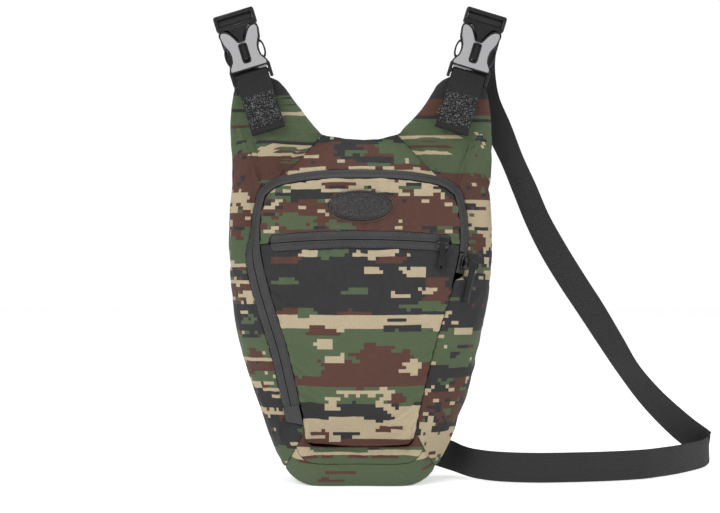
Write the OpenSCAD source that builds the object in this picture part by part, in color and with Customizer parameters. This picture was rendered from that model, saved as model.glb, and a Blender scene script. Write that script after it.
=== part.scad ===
// A chest sling bag: a padded shell with two shoulder horns, an arched main zip, a zipped
// front pocket, a side-release buckle on each horn and a webbing strap to each buckle.
// Millimetres. X to the bag's right as it is seen, -Y to the front, Z up, origin on the floor
// under the middle of the base.

/* [Shell] */
// Width over both sides
bag_w = 229; // [200:1:270]
// Height of the horns' tips
bag_h = 356; // [310:1:420]
// Outer fabric, with its coating
cloth_t = 1.2; // [0.8:0.1:2]
// Lining fabric
lining_t = 0.8; // [0.5:0.1:1.2]
// Play between two soft layers
layer_gap = 0.4; // [0.3:0.1:0.8]
// Where the side wall ends and the back begins, behind the middle
back_y = 24; // [16:1:40]
// Foam of the back
foam_t = 4.6; // [3:0.2:10]
// Air-mesh face of the back
mesh_t = 1.8; // [1:0.1:3]
// How far the front panel is crowned beyond its edge
crown = 6; // [2:0.5:10]
// Piping that closes the back seam, radius
piping_r = 1.5; // [1:0.1:2.5]

/* [Zips] */
// Whole width of a zip's two tapes
tape_w = 14.5; // [12:0.5:18]
// Thickness of a tape
tape_t = 0.8; // [0.6:0.1:1.2]
// Gap between the two tapes, where the chain runs
chain_gap = 1.2; // [1:0.1:1.6]
// Width of one row of teeth
tooth_w = 1.8; // [1.4:0.1:2.4]
// Height of the teeth behind the tape
tooth_h = 1.3; // [1:0.1:1.8]
// Tilt of the main zip away from the front, over the arch and the right leg
zip_tilt = 60; // [40:1:65]
// Tilt of the main zip on the left leg
left_tilt = 12; // [0:1:30]
// Length of a slider
slider_l = 12; // [10:0.5:15]
// Width of a slider
slider_w = 9.4; // [8.6:0.2:12]
// Half of the pocket zip's length
pocket_half = 77; // [60:1:79]
// Height of the pocket zip's ends
pocket_z = 208.5; // [190:0.5:215]
// How far the pocket zip arches up in its middle
pocket_rise = 3.5; // [0:0.5:6]

/* [Buckles] */
// Width of the webbing on the horns
tab_w = 30; // [25:1:34]
// Thickness of the webbing
web_t = 1.3; // [1:0.1:1.8]
// Width of a buckle
buckle_w = 37; // [36:0.5:46]
// Thickness of the socket
socket_t = 11; // [10:0.5:14]
// Lean of the buckles, out from upright
lean = 17; // [0:1:25]
// Distance of a buckle's foot from the middle
buckle_x = 93.5; // [85:0.5:105]
// Height of a buckle's foot
buckle_z = 351; // [330:1:400]
// Depth of the buckles' middle plane
buckle_y = 3; // [-2:0.5:8]
// Length of the sewn part of a horn's webbing
tab_l = 45; // [36:1:60]

/* [Strap] */
// Width of the shoulder strap
strap_w = 26; // [20:1:28]

/* [Hidden] */

black = [0.07, 0.07, 0.075];
grey = [0.62, 0.62, 0.63];
green = [0.28, 0.34, 0.22];
brown = [0.29, 0.19, 0.16];
tan = [0.63, 0.55, 0.41];

// Lofting stations from the bottom middle up the right side to the top middle: the front
// panel's edge x, z, then the outline's x, z and depth y, then how round the wall between
// them is (1 a quarter round, 0 a flat horn) and how far it bulges forward as the ledge.
ref_w = 229;
ref_h = 356;
stations = [
    [0, 34, 0, 0, -30, 1, 12], [34, 34, 36, 0, -30, 1, 12], [45, 38, 58, 7, -18, 1, 8],
    [50, 59, 72, 25, -4, 1, 2], [57.5, 93, 89, 65, 2, 1, 0], [64.5, 122, 100.5, 104, 4, 1, 0],
    [76.6, 161.5, 109.5, 153, 5, 1, 0], [82.25, 182.8, 113, 185, 5, 1, 0],
    [85.85, 200, 114.3, 210, 5, 1, 0], [86.9, 216, 114, 235, 5, 1, 0],
    [85.72, 233, 113.5, 262, 6, 0.9, 0], [82.5, 248.4, 114.5, 300, 7, 0.5, 0],
    [81, 251.2, 113.5, 325, 8, 0.2, 0], [78.9, 252.7, 110, 345, 8, 0, 0],
    [77.8, 253.9, 104, 353.5, 8, 0, 0], [76.6, 255, 91, 356, 8, 0, 0],
    [75.4, 255.9, 78, 354, 8, 0, 0], [74, 256.8, 70, 348.5, 8, 0, 0],
    [71.5, 258, 58, 330.5, 8, 0, 0], [69, 259, 45.5, 316, 8, 0, 0],
    [65.5, 260.1, 33, 305.8, 8, 0.1, 0], [50, 263, 22, 302, 8, 0.3, 0],
    [30, 265, 12, 300.3, 8, 0.4, 0], [0, 265.7, 0, 299.6, 8, 0.4, 0]
];
last = len(stations) - 1;
fine = 2; // grid columns between two stations
cols = 2 * last * fine;
wall_rows = 7;
side_rows = 2;

// Stations where one panel ends and the next begins.
base_station = 2.5;
neck_station = 20;
park_station = 7; // the main zip's closed end, on the right
slider_station = 7.55;
flap_station = 8.1; // the flap's free edge begins just above the parked slider
left_end_station = 3; // the main zip's lower end, on the left

function mix(a, b, t) = a + (b - a) * t;
function clamp(v, lo, hi) = min(hi, max(lo, v));
function ease(t) = let(c = clamp(t, 0, 1)) c * c * (3 - 2 * c);
function unit(v) = v / norm(v);
function curve(a, b, c, d, t) =
    0.5 * (2 * b + (c - a) * t + (2 * a - 5 * b + 4 * c - d) * t * t
           + (3 * b - a - 3 * c + d) * t * t * t);

// One station by its whole-loop number: 0 to last up the right, then back down the left.
function row_at(i) =
    let(n = 2 * last, k = ((i % n) + n) % n, left = k > last, r = stations[left ? n - k : k],
        s = left ? -1 : 1, kw = bag_w / ref_w, kh = bag_h / ref_h)
    [s * r[0] * kw, r[1] * kh, s * r[2] * kw, r[3] * kh, r[4], r[5], r[6]];
function station(s) =
    let(i = floor(s), t = s - i, r = curve(row_at(i - 1), row_at(i), row_at(i + 1), row_at(i + 2), t))
    [r[0], r[1], r[2], max(0, r[3]), r[4], r[5], r[6]];
function left_side(s) = 2 * last - s; // the same place on the left

// The front panel's edge, its way out in the front plane, and the zip band along it.
function edge_y(s) = let(z = station(s)[1] * ref_h / bag_h)
    -27 - 4 * ease((z - 34) / 60) - 3 * ease((z - 110) / 40);
function edge(s) = let(r = station(s)) [r[0], edge_y(s), r[1]];
function along(s) =
    let(d = station(s + 0.02) - station(s - 0.02)) unit([d[0], 0, d[1]]);
function outward(s) = let(a = along(s)) [a[2], 0, -a[0]];
function band_tilt(s) =
    mix(zip_tilt, left_tilt, ease((s - left_side(9.5)) / 2.5));
function band(s) = let(t = band_tilt(s)) cos(t) * outward(s) + [0, sin(t), 0];
function band_normal(s) = unit(cross(band(s), along(s)));
// Width of the zip band: whole between the two ends of the zip, nothing on the plain seam.
function band_w(s) = (s < park_station - 0.001 || s > left_side(left_end_station) + 0.001)
    ? 0 : tape_w;
function on_band(s, across, up) = edge(s) + across * band(s) + up * band_normal(s);

// The wall from the band to the outline, then back to the back seam. v is 0 to 1 to the
// outline and 1 to 2 behind it.
function wall(s, v) =
    let(r = station(s), e = min(v, 1), a = edge(s) + band_w(s) * band(s), o = [r[2], r[4], r[3]],
        round = clamp(r[5], 0, 1), p = mix(0.6, 1.5, round), q = mix(2, 0.55, round),
        h = 1 - pow(max(0, 1 - pow(e, p)), q), m = a + (o - a) * e,
        ledge = max(r[6], 0) * sin(180 * pow(e, 0.8)), back = clamp(v - 1, 0, 1))
    [m[0], mix(a[1], o[1], h) - ledge + (back_y - o[1]) * back, m[2]]
    - (1.5 - low_shift(s)) * back * outline_out(s);
// Near the floor the back seam is turned in, so that its piping stays off the ground.
function low_shift(s) = 1.5 * (1 - ease(station(s)[3] / 20));
function outline_out(s) =
    let(d = station(s + 0.02) - station(s - 0.02), t = unit([d[2], 0, d[3]])) [t[2], 0, -t[0]];
function wall_v(j) = j <= wall_rows ? 1 - pow(1 - j / wall_rows, 1.3) : 1 + (j - wall_rows) / side_rows;

// A closed solid between two layers of one grid of points, `from` and `to` under it, or
// straight behind it.
function grid_normal(g, i, j) =
    let(n = len(g), m = len(g[0]), a = g[min(i + 1, n - 1)][j] - g[max(i - 1, 0)][j],
        b = g[i][min(j + 1, m - 1)] - g[i][max(j - 1, 0)])
    unit(cross(a, b));
module sheet_solid(g, from, to, straight = false) {
    n = len(g);
    m = len(g[0]);
    function way(i, j) = straight ? [0, 1, 0] : grid_normal(g, i, j);
    outer = [for (i = [0:n - 1], j = [0:m - 1]) g[i][j] + from * way(i, j)];
    inner = [for (i = [0:n - 1], j = [0:m - 1]) g[i][j] + to * way(i, j)];
    k = n * m;
    // each four-sided facet is given as two triangles, the same way on both faces
    faces = concat(
        [for (i = [0:n - 2], j = [0:m - 2]) let(a = i * m + j) each
            [[a, a + m + 1, a + 1], [a, a + m, a + m + 1],
             [k + a, k + a + 1, k + a + m + 1], [k + a, k + a + m + 1, k + a + m]]],
        [for (i = [0:n - 2]) let(a = i * m, b = a + m - 1) each
            [[a, k + a + m, a + m], [a, k + a, k + a + m],
             [b, b + m, k + b + m], [b, k + b + m, k + b]]],
        [for (j = [0:m - 2]) let(a = j, b = (n - 1) * m + j) each
            [[a, a + 1, k + a + 1], [a, k + a + 1, k + a],
             [b, k + b + 1, b + 1], [b, k + b, k + b + 1]]]);
    polyhedron(points = concat(outer, inner), faces = faces);
}
// Cuts of a many-sided soft solid are taken as one mesh.
module as_mesh() { resize([0, 0, 0]) children(); }

seam = 0.012; // of a station, so that two sewn panels meet with a hair's gap
function span(a, b) = let(n = max(1, round((b - a) * fine))) [for (i = [0:n]) mix(a, b, i / n)];
module wall_panel(a, b, v0, v1, from, to) {
    rows = [for (j = [0:wall_rows + side_rows]) let(v = wall_v(j)) if (v > v0 + 0.02 && v < v1 - 0.02) v];
    vs = concat([v0], rows, [v1]);
    g = [for (s = span(a + seam, b - seam)) [for (v = vs) wall(s, v)]];
    sheet_solid(g, from, to);
}

wall_v0 = 0.006; // the hair's gap between the zip band and the wall
ledge_v = 0.4; // where the base panel's front seam lies, from the front panel to the floor
ledge_seam = 0.008;
module base_panel() {
    color(green) wall_panel(-base_station, base_station, ledge_v + ledge_seam, 2, 0, cloth_t);
}
module front_ledge() {
    color(tan) wall_panel(-base_station, base_station, wall_v0, ledge_v - ledge_seam, 0, cloth_t);
}
module right_side_panel() {
    color(green) {
        wall_panel(base_station, park_station, wall_v0, 2, 0, cloth_t);
        wall_panel(park_station, neck_station, wall_v0, 2, 0, cloth_t);
    }
}
module left_side_panel() {
    color(brown) {
        wall_panel(left_side(neck_station), left_side(left_end_station), wall_v0, 2, 0, cloth_t);
        wall_panel(left_side(left_end_station), left_side(base_station), wall_v0, 2, 0, cloth_t);
    }
}
module neck_panel() {
    color(brown) wall_panel(neck_station, left_side(neck_station), wall_v0, 2, 0, cloth_t);
}

// Lining of the walls, inside them and clear of the zip's teeth.
lining_from = cloth_t + layer_gap;
lining_to = lining_from + lining_t;
module body_lining() {
    color(grey) {
        wall_panel(left_side(9.5), left_side(left_end_station), 0.4, 1.62, lining_from, lining_to);
        wall_panel(-left_end_station, park_station, 0.4, 1.62, lining_from, lining_to);
        wall_panel(park_station, 9.5, 0.4, 1.62, lining_from, lining_to);
        wall_panel(neck_station + 1.5, left_side(neck_station + 1.5), 0.45, 1.4, lining_from, lining_to);
    }
}

// The outline, `inset` inside the back seam, and a flat layer of the back.
function outline(inset) = [for (i = [0:cols - 1]) let(s = i / fine, p = wall(s, 2),
    o = outline_out(s), d = inset + 1.2 * low_shift(s)) [p[0] - d * o[0], p[2] - d * o[2]]];
module back_layer(inset, y, t)
    translate([0, y + t, 0]) rotate([90, 0, 0]) linear_extrude(t) polygon(outline(inset));
mesh_y = back_y + 0.4;
foam_y = back_y - foam_t - 0.4;
back_lining_y = foam_y - layer_gap - lining_t;
module back_mesh() { color(black) back_layer(piping_r + 0.8, mesh_y, mesh_t); }
module back_foam() { color(grey) back_layer(3.6, foam_y, foam_t); }
module back_lining() { color(grey) back_layer(4.6, back_lining_y, lining_t); }

// Piping around the back seam.
module edge_piping() {
    n = cols;
    ring = 8;
    pts = [for (i = [0:n - 1]) let(s = i / fine, o = outline_out(s),
        p = wall(s, 2) + [0, piping_r + 0.4, 0] + (0.6 - 1.5 * low_shift(s)) * o) each
        [for (k = [0:ring - 1]) p + piping_r * (cos(k * 360 / ring) * o + [0, sin(k * 360 / ring), 0])]];
    faces = [for (i = [0:n - 1], k = [0:ring - 1])
        let(a = i * ring + k, b = i * ring + (k + 1) % ring,
            c = ((i + 1) % n) * ring + (k + 1) % ring, d = ((i + 1) % n) * ring + k) each
        [[a, c, b], [a, d, c]]];
    color(black) polyhedron(points = pts, faces = faces);
}

// A stiff board on the floor of the bag.
board = [70, 38, 2.4];
module base_board() {
    color(black) translate([-board[0] / 2, -22, lining_to + 0.8]) cube(board);
}

// Foam inside each horn.
module horn_foam() {
    as_mesh() intersection() {
        back_layer(8, 12.4, back_lining_y - layer_gap - 12.4);
        translate([52, 0, 268 * bag_h / ref_h]) cube([80, 60, 120]);
    }
}
module left_horn_foam() { color(grey) mirror([1, 0, 0]) horn_foam(); }
module right_horn_foam() { color(grey) horn_foam(); }

// Open-topped pocket on the inside of the back.
pocket_w = 130;
pocket_h = 120;
pocket_low = 62;
inner_y = back_lining_y - layer_gap - lining_t;
module inner_pocket() {
    color(grey) translate([-pocket_w / 2, inner_y, pocket_low]) cube([pocket_w, lining_t, pocket_h]);
}
module inner_pocket_binding() {
    top = pocket_low + pocket_h + 0.3;
    color(black) translate([-pocket_w / 2, inner_y - 0.6, top]) cube([pocket_w, lining_t + 0.6, 5]);
}

// Zip tapes and teeth along the band.
inner_tape = [0.3, (tape_w - chain_gap) / 2];
outer_tape = [(tape_w + chain_gap) / 2, tape_w - 0.3];
tooth_from = tape_t + 0.15;
tooth_to = tooth_from + tooth_h;
module band_strip(a, b, edges, from, to) {
    g = [for (s = span(a, b)) [for (x = edges) on_band(s, x, 0)]];
    sheet_solid(g, from, to);
}
left_end = left_side(left_end_station) - 0.05;
flap_end = left_side(left_end_station) - 0.35;
module main_zip_body_tape() {
    color(black) band_strip(park_station + 0.05, left_end, outer_tape, 0, tape_t);
}
module main_zip_body_teeth() {
    color(black) band_strip(park_station + 0.25, flap_end - 0.1,
        [outer_tape[0], outer_tape[0] + tooth_w], tooth_from, tooth_to);
}
module main_zip_flap_tape() {
    color(black) band_strip(flap_station, flap_end, inner_tape, 0, tape_t);
}
module main_zip_flap_teeth() {
    color(black) band_strip(flap_station, flap_end - 0.1,
        [inner_tape[1] - tooth_w, inner_tape[1]], tooth_from, tooth_to);
}
module main_zip_parking_tape() {
    color(black) band_strip(park_station + 0.05, flap_station - 0.06, inner_tape, 0, tape_t);
}
// Moulded stops at the two ends, on the inside of the tapes.
module main_zip_stops() {
    color(grey) {
        band_strip(park_station + 0.07, park_station + 0.2,
            [outer_tape[0], outer_tape[0] + tooth_w], tooth_from, tooth_to);
        band_strip(park_station + 0.07, park_station + 0.2,
            [inner_tape[1] - tooth_w, inner_tape[1]], tooth_from, tooth_to);
        band_strip(flap_end - 0.05, left_end,
            [outer_tape[0], outer_tape[0] + tooth_w], tooth_from, tooth_to);
    }
}
// A fabric tab closes the band below the low end of the teeth.
module main_zip_end_tab() {
    color(green) band_strip(left_end - 0.28, left_end, [inner_tape[0], inner_tape[1]], 0, tape_t);
}

// The front panel: a shallow crown over the edge. Rows run from one side to the other.
front_cols = 14;
function crown_at(z) = crown * (1 - pow(clamp(abs(z - mid_z) / half_z, 0, 1), 2.4));
front_low = stations[0][1];
front_high = stations[last][1];
mid_z = (front_low + front_high) / 2 * bag_h / ref_h;
half_z = (front_high - front_low) / 2 * bag_h / ref_h;
front_inset = 1.5; // the front's seam allowance beside the zip band
function front_point(s, u) =
    let(e = edge(s) - front_inset * outward(s)) [e[0] * u, e[1] - crown_at(e[2]) * (1 - u * u), e[2]];
module front_shell(from, to) {
    g = [for (s = span(0.02, last - 0.02)) [for (k = [0:front_cols])
        front_point(s, 2 * k / front_cols - 1)]];
    sheet_solid(g, from, to, true);
}
// The pocket zip's middle line, its depth there and a strip of the front along it.
function pocket_line(x) = pocket_z * bag_h / ref_h + pocket_rise * (1 - pow(x / pocket_half, 2));
zip_edge_y = edge_y(9);
zip_edge_x = stations[9][0] * bag_w / ref_w;
function front_y(x) =
    zip_edge_y - crown_at(pocket_z * bag_h / ref_h + pocket_rise) * (1 - pow(x / zip_edge_x, 2));
module pocket_strip(x0, x1, low, high, from, to) {
    n = ceil((x1 - x0) / 8);
    g = [for (i = [0:n]) let(x = mix(x0, x1, i / n))
        [[x, front_y(x), pocket_line(x) + high], [x, front_y(x), pocket_line(x) + low]]];
    sheet_solid(g, from, to);
}
module front_above(gap) {
    top = bag_h + 20;
    pts = concat([for (i = [0:16]) let(x = mix(-pocket_half, pocket_half, i / 16))
        [x, pocket_line(x) + gap]], [[130, pocket_line(pocket_half) + gap], [130, top], [-130, top],
        [-130, pocket_line(pocket_half) + gap]]);
    rotate([90, 0, 0]) linear_extrude(90) polygon(pts);
}
module zip_window(half_h) {
    n = 16;
    pts = concat([for (i = [0:n]) let(x = mix(-pocket_half, pocket_half, i / n)) [x, pocket_line(x) - half_h]],
        [for (i = [n:-1:0]) let(x = mix(-pocket_half, pocket_half, i / n)) [x, pocket_line(x) + half_h]]);
    rotate([90, 0, 0]) linear_extrude(90) polygon(pts);
}
window_half = tape_w / 2 + 0.3;
module flap_top_panel() {
    color(brown) as_mesh() difference() {
        intersection() {
            front_shell(0, cloth_t);
            front_above(0.2);
        }
        zip_window(window_half);
    }
}
module pocket_panel() {
    color(green) as_mesh() difference() {
        front_shell(0, cloth_t);
        front_above(-0.2);
        zip_window(window_half);
    }
}
module flap_lining() {
    color(grey) {
        g = [for (s = span(0.5, last - 2.5)) [for (k = [0:12])
            front_point(s, 0.965 * (2 * k / 12 - 1))]];
        sheet_solid(g, 4.4, 4.4 + lining_t, true);
    }
}
module pocket_zip_tapes() {
    half = tape_w / 2;
    color(black) {
        pocket_strip(-pocket_half + 0.4, pocket_half - 0.4, chain_gap / 2, half, 0, tape_t);
        pocket_strip(-pocket_half + 0.4, pocket_half - 0.4, -half, -chain_gap / 2, 0, tape_t);
    }
}
module pocket_zip_teeth() {
    half = pocket_half - 4;
    color(black) {
        pocket_strip(-half, half, chain_gap / 2, chain_gap / 2 + tooth_w, tooth_from, tooth_to);
        pocket_strip(-half, half, -chain_gap / 2 - tooth_w, -chain_gap / 2, tooth_from, tooth_to);
    }
}
module pocket_zip_stops() {
    color(grey) for (x = [-pocket_half + 1.2, pocket_half - 3.4], s = [-1, 1])
        pocket_strip(x, x + 2.2, s > 0 ? chain_gap / 2 : -chain_gap / 2 - tooth_w,
            s > 0 ? chain_gap / 2 + tooth_w : -chain_gap / 2, tooth_from, tooth_to);
}

// An oval badge without any lettering, and the row of stitches around it.
badge_z = 241 * bag_h / ref_h;
badge_size = [54, 25];
module badge() {
    color(grey) as_mesh() intersection() {
        front_shell(-1.5, -0.4);
        translate([0, -20, badge_z]) rotate([90, 0, 0]) scale([badge_size[0] / badge_size[1], 1, 1])
            cylinder(d = badge_size[1], h = 30, $fn = 64);
    }
}
module badge_stitching() {
    n = 56;
    color(black) for (i = [0:n - 1])
        let(a = i * 360 / n, x = cos(a) * (badge_size[0] / 2 - 1.8), z = badge_z + sin(a) * (badge_size[1] / 2 - 1.8))
            translate([x, zip_edge_y - crown_at(z) * (1 - pow(x / zip_edge_x, 2)) - 1.75, z])
                rotate([0, -atan2(cos(a) * badge_size[1], -sin(a) * badge_size[0]), 0])
                    translate([-0.9, -0.4, -0.3]) cube([1.8, 0.4, 0.6]);
}

// Sliders. Local x runs along the teeth, y across them and z out of the tape.
plate_t = 1.5;
channel = 0.35;
module slider_body() {
    low = -(tape_t + tooth_h + channel + plate_t);
    translate([-slider_l / 2, -slider_w / 2, channel]) cube([slider_l, slider_w, plate_t]);
    translate([-slider_l / 2, -slider_w / 2, low]) cube([slider_l, slider_w, plate_t]);
    for (s = [-1, 1]) translate([-slider_l / 2, s * (slider_w / 2 - 0.6) - 0.6, low])
        cube([slider_l, 1.2, -low - tape_t - channel]);
    translate([slider_l / 2 - 4.5, -(chain_gap / 2 - 0.3), low])
        cube([3.5, chain_gap - 0.6, channel - low + 0.5]);
    // the bar that the pull's eye turns on, on two posts
    for (s = [-1, 1]) translate([s * 4 - 0.7, -1, channel + plate_t - 0.1]) cube([1.4, 2, bar_z]);
    translate([-4, 0, bar_z]) rotate([0, 90, 0]) cylinder(r = pull_bar_r, h = 8);
}
bar_z = 4.2; // height of the bar
pull_bar_r = 0.8;
eye_r = 1.2;
eye_out = 2;
module pull_eye(w) {
    translate([-w / 2, 0, bar_z]) rotate([0, 90, 0]) difference() {
        cylinder(r = eye_out, h = w);
        translate([0, 0, -1]) cylinder(r = eye_r, h = w + 2);
    }
}

// The main slider parks at the low end of the zip.
module main_place() {
    c = on_band(slider_station, tape_w / 2, 0);
    a = along(slider_station);
    b = -band(slider_station);
    n = band_normal(slider_station);
    multmatrix([[a[0], b[0], n[0], c[0]], [a[1], b[1], n[1], c[1]], [a[2], b[2], n[2], c[2]],
        [0, 0, 0, 1]]) children();
}
module main_slider() { color(grey) main_place() slider_body(); }
// A short link stands out from the slider and carries the grip on a pin through its round head.
head_z = 10.8;
head_d = 8;
head_w = 5.2;
pin_r = 1;
grip_l = 33;
grip_w = 4;
module main_pull_link() {
    color(grey) main_place() {
        pull_eye(4.6);
        translate([-1.5, -0.8, bar_z + eye_out - 0.4]) cube([3, 1.6, head_z - bar_z - eye_out + 0.4]);
        translate([0, 2.4, head_z]) rotate([90, 0, 0]) cylinder(r = pin_r, h = 4.8);
    }
}
module main_pull_grip() {
    color(black) main_place() difference() {
        union() {
            translate([0, head_w / 2, head_z]) rotate([90, 0, 0]) cylinder(d = head_d, h = head_w);
            translate([-grip_l + grip_w / 2, -head_w / 2, head_z - grip_w / 2])
                cube([grip_l - grip_w / 2, head_w, grip_w]);
            translate([-grip_l + grip_w / 2, head_w / 2, head_z]) rotate([90, 0, 0])
                cylinder(d = grip_w, h = head_w);
        }
        // room for the link, from either side, and the bore for its pin
        translate([-2, -1.2, head_z - head_d]) cube([head_d, 2.4, head_d + 2]);
        translate([0, head_w, head_z]) rotate([90, 0, 0]) cylinder(r = pin_r + 0.35, h = 2 * head_w);
    }
}

// The pocket slider parks at the right end of the pocket zip.
pocket_park = pocket_half - 6.6;
module pocket_place(turn) {
    d = 0.5;
    p = [pocket_park, front_y(pocket_park), pocket_line(pocket_park)];
    q = [pocket_park + d, front_y(pocket_park + d), pocket_line(pocket_park + d)];
    a = unit(q - p);
    n = unit(cross(a, [0, 0, 1]));
    b = cross(n, a);
    multmatrix([[a[0], b[0], n[0], p[0]], [a[1], b[1], n[1], p[1]], [a[2], b[2], n[2], p[2]],
        [0, 0, 0, 1]]) rotate([0, 0, turn]) children();
}
module pocket_slider() { color(grey) pocket_place(0) slider_body(); }
// Its pull hangs below it.
module pocket_pull() {
    l = 21;
    w = 6.4;
    t = 2.2;
    color(black) pocket_place(0) {
        pull_eye(4.6);
        translate([-2.3, -l, bar_z - t / 2]) cube([4.6, l - eye_r - 0.3, t]);
        translate([0, -l, bar_z - t / 2]) cylinder(d = w, h = t);
        translate([-w / 2, -l, bar_z - t / 2]) cube([w, 8, t]);
    }
}

// Side-release buckles, standing on their foot bar: x across, y through, z along.
foot_bar_z = 4.5;
bar_r = 1.8;
loop_clear = 0.5; // between a bar and the webbing round it
inner_half = tab_w / 2 + 0.6; // half of a webbing slot's width
half_w = buckle_w / 2;
plate = 1.8; // wall of the socket, front and back
waist = 11; // half width of the waist
ear_z = 49;
socket_low = 12;
module waisted(low, high) {
    polygon([[-half_w + 1, low], [half_w - 1, low], [half_w - 1, low + 2], [waist, 23], [waist, 30],
        [half_w - 1.5, 39], [half_w - 1, high], [-half_w + 1, high], [-half_w + 1.5, 39],
        [-waist, 30], [-waist, 23], [-half_w + 1, low + 2]]);
}
module upright(y0, t) { translate([0, y0 + t, 0]) rotate([90, 0, 0]) linear_extrude(t) children(); }
module buckle_socket() {
    back = socket_t / 2;
    // back plate, foot block, cheeks with the foot bar, and the walls beside the mouth
    upright(back - plate, plate) waisted(socket_low, ear_z);
    translate([-half_w + 1, -back + plate, socket_low]) cube([2 * half_w - 2, socket_t - 2 * plate, 2]);
    for (s = [-1, 1]) {
        translate([s > 0 ? inner_half : -half_w, -3.6, 1.5]) cube([half_w - inner_half, 7.6, 13]);
        translate([s > 0 ? half_w - 2.4 : -half_w + 1, -back + plate, 42])
            cube([1.4, socket_t - 2 * plate, ear_z - 42]);
        translate([s > 0 ? waist - 1.5 : -waist, back - plate - 2, 20]) cube([1.5, 2.1, 12]);
    }
    translate([-half_w + 0.5, 0, foot_bar_z]) rotate([0, 90, 0]) cylinder(r = bar_r, h = 2 * half_w - 1);
}
module buckle_face() {
    upright(-socket_t / 2 - 0.25, plate) difference() {
        waisted(socket_low, ear_z);
        // the long window and the notch above it
        translate([-2.8, 21]) square([5.6, 14]);
        translate([0, 21]) circle(r = 2.8);
        polygon([[-2.4, 38.5], [2.4, 38.5], [7, 44], [13, ear_z + 1], [-13, ear_z + 1], [-7, 44]]);
    }
}
plug_t = 7;
plug_low = 50;
plug_top = 65;
module buckle_plug() {
    difference() {
        translate([-half_w, -plug_t / 2, plug_low]) cube([2 * half_w, plug_t, plug_top - plug_low]);
        translate([-inner_half, -plug_t, 54]) cube([2 * inner_half, 2 * plug_t, 7.2]);
    }
    translate([-2.5, -2.6, 20]) cube([5, 5.2, plug_low - 20 + 1]);
}
prong_x = 12.5;
prong_root = 49.6;
module prong() {
    h = plug_t - 1.4;
    upright(-h / 2, h) {
        translate([prong_x - 1.8, 34]) square([3.6, prong_root - 34]);
        difference() {
            translate([15, 27]) scale([0.4, 1]) circle(d = 17);
            translate([15, 27]) scale([0.3, 1]) circle(d = 12);
        }
        polygon([[12.2, 16], [14.5, 20], [13, 23], [10, 17.5]]);
    }
}
module on_right() { translate([buckle_x, buckle_y, buckle_z]) rotate([0, lean, 0]) children(); }
module on_left() { mirror([1, 0, 0]) on_right() children(); }
module left_buckle_socket() { color(black) on_left() buckle_socket(); }
module right_buckle_socket() { color(black) on_right() buckle_socket(); }
module left_buckle_face() { color(grey) on_left() buckle_face(); }
module right_buckle_face() { color(grey) on_right() buckle_face(); }
module left_buckle_plug() { color(black) on_left() buckle_plug(); }
module right_buckle_plug() { color(black) on_right() buckle_plug(); }
module left_plug_outer_prong() { color(black) on_left() as_mesh() prong(); }
module left_plug_inner_prong() { color(black) on_left() mirror([1, 0, 0]) as_mesh() prong(); }
module right_plug_outer_prong() { color(black) on_right() as_mesh() prong(); }
module right_plug_inner_prong() { color(black) on_right() mirror([1, 0, 0]) as_mesh() prong(); }

// Webbing looped round the foot bar and sewn down on the horn in two layers.
tab_y = -4.2; // the sewn layers lie in front of the bar
module webbing_tab() {
    ring_in = bar_r + loop_clear;
    ring_out = ring_in + web_t;
    translate([-tab_w / 2, 0, foot_bar_z]) rotate([0, 90, 0]) difference() {
        cylinder(r = ring_out, h = tab_w);
        translate([0, 0, -1]) cylinder(r = ring_in, h = tab_w + 2);
    }
    slope = atan2(-tab_y - 1.2, 9);
    translate([-tab_w / 2, -2.4, foot_bar_z - 2.2]) rotate([-slope, 0, 0])
        translate([0, -web_t, -9.5]) cube([tab_w, 2 * web_t, 9.5]);
    translate([-tab_w / 2, tab_y - web_t - 0.5, -tab_l]) cube([tab_w, 2 * web_t, tab_l - 5.5]);
}
module left_webbing_tab() { color(black) on_left() webbing_tab(); }
module right_webbing_tab() { color(black) on_right() webbing_tab(); }
// A box of stitches with a cross in it, standing off the webbing's face.
stitch = [2.2, 0.35, 0.5];
module stitch_row(x0, z0, x1, z1) {
    l = norm([x1 - x0, z1 - z0]);
    n = floor(l / 3);
    for (i = [0:n - 1]) translate([mix(x0, x1, (i + 0.5) / n), 0, mix(z0, z1, (i + 0.5) / n)])
        rotate([0, -atan2(z1 - z0, x1 - x0), 0]) translate([-stitch[0] / 2, -stitch[1], -stitch[2] / 2])
            cube(stitch);
}
module stitch_box() {
    w = tab_w / 2 - 2.5;
    low = -tab_l + 3;
    top = -10;
    translate([0, tab_y - web_t - 0.7, 0]) {
        stitch_row(-w, low, w, low);
        stitch_row(-w, top, w, top);
        stitch_row(-w, low + 3, -w, top - 3);
        stitch_row(w, low + 3, w, top - 3);
        stitch_row(-w + 3, low + 3, w - 3, top - 3);
    }
}
module tab_stitching() {
    color(black) {
        on_left() stitch_box();
        on_right() stitch_box();
    }
}

// A ribbon of webbing: points in order, and the direction its width runs in at each.
module ribbon(pts, across, w) {
    n = len(pts);
    function dir(i) = unit(pts[min(i + 1, n - 1)] - pts[max(i - 1, 0)]);
    function side(i) = let(d = dir(i), a = across[i]) unit(a - (a * d) * d);
    corners = [for (i = [0:n - 1]) let(c = w / 2 * side(i), t = web_t / 2 * cross(dir(i), side(i))) each
        [pts[i] - c - t, pts[i] + c - t, pts[i] + c + t, pts[i] - c + t]];
    faces = concat([[0, 1, 2], [0, 2, 3], [4 * n - 4, 4 * n - 2, 4 * n - 3], [4 * n - 4, 4 * n - 1, 4 * n - 2]],
        [for (i = [0:n - 2], k = [0:3]) let(a = 4 * i + k, b = 4 * i + (k + 1) % 4) each
            [[a, a + 4, b + 4], [a, b + 4, b]]]);
    polyhedron(points = corners, faces = faces);
}
// A smooth line through hand-placed points, `steps` pieces to a stretch.
function smooth(p, steps) = concat([for (i = [0:len(p) - 2], k = [0:steps - 1])
    curve(p[max(i - 1, 0)], p[i], p[i + 1], p[min(i + 2, len(p) - 1)], k / steps)], [p[len(p) - 1]]);
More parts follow.
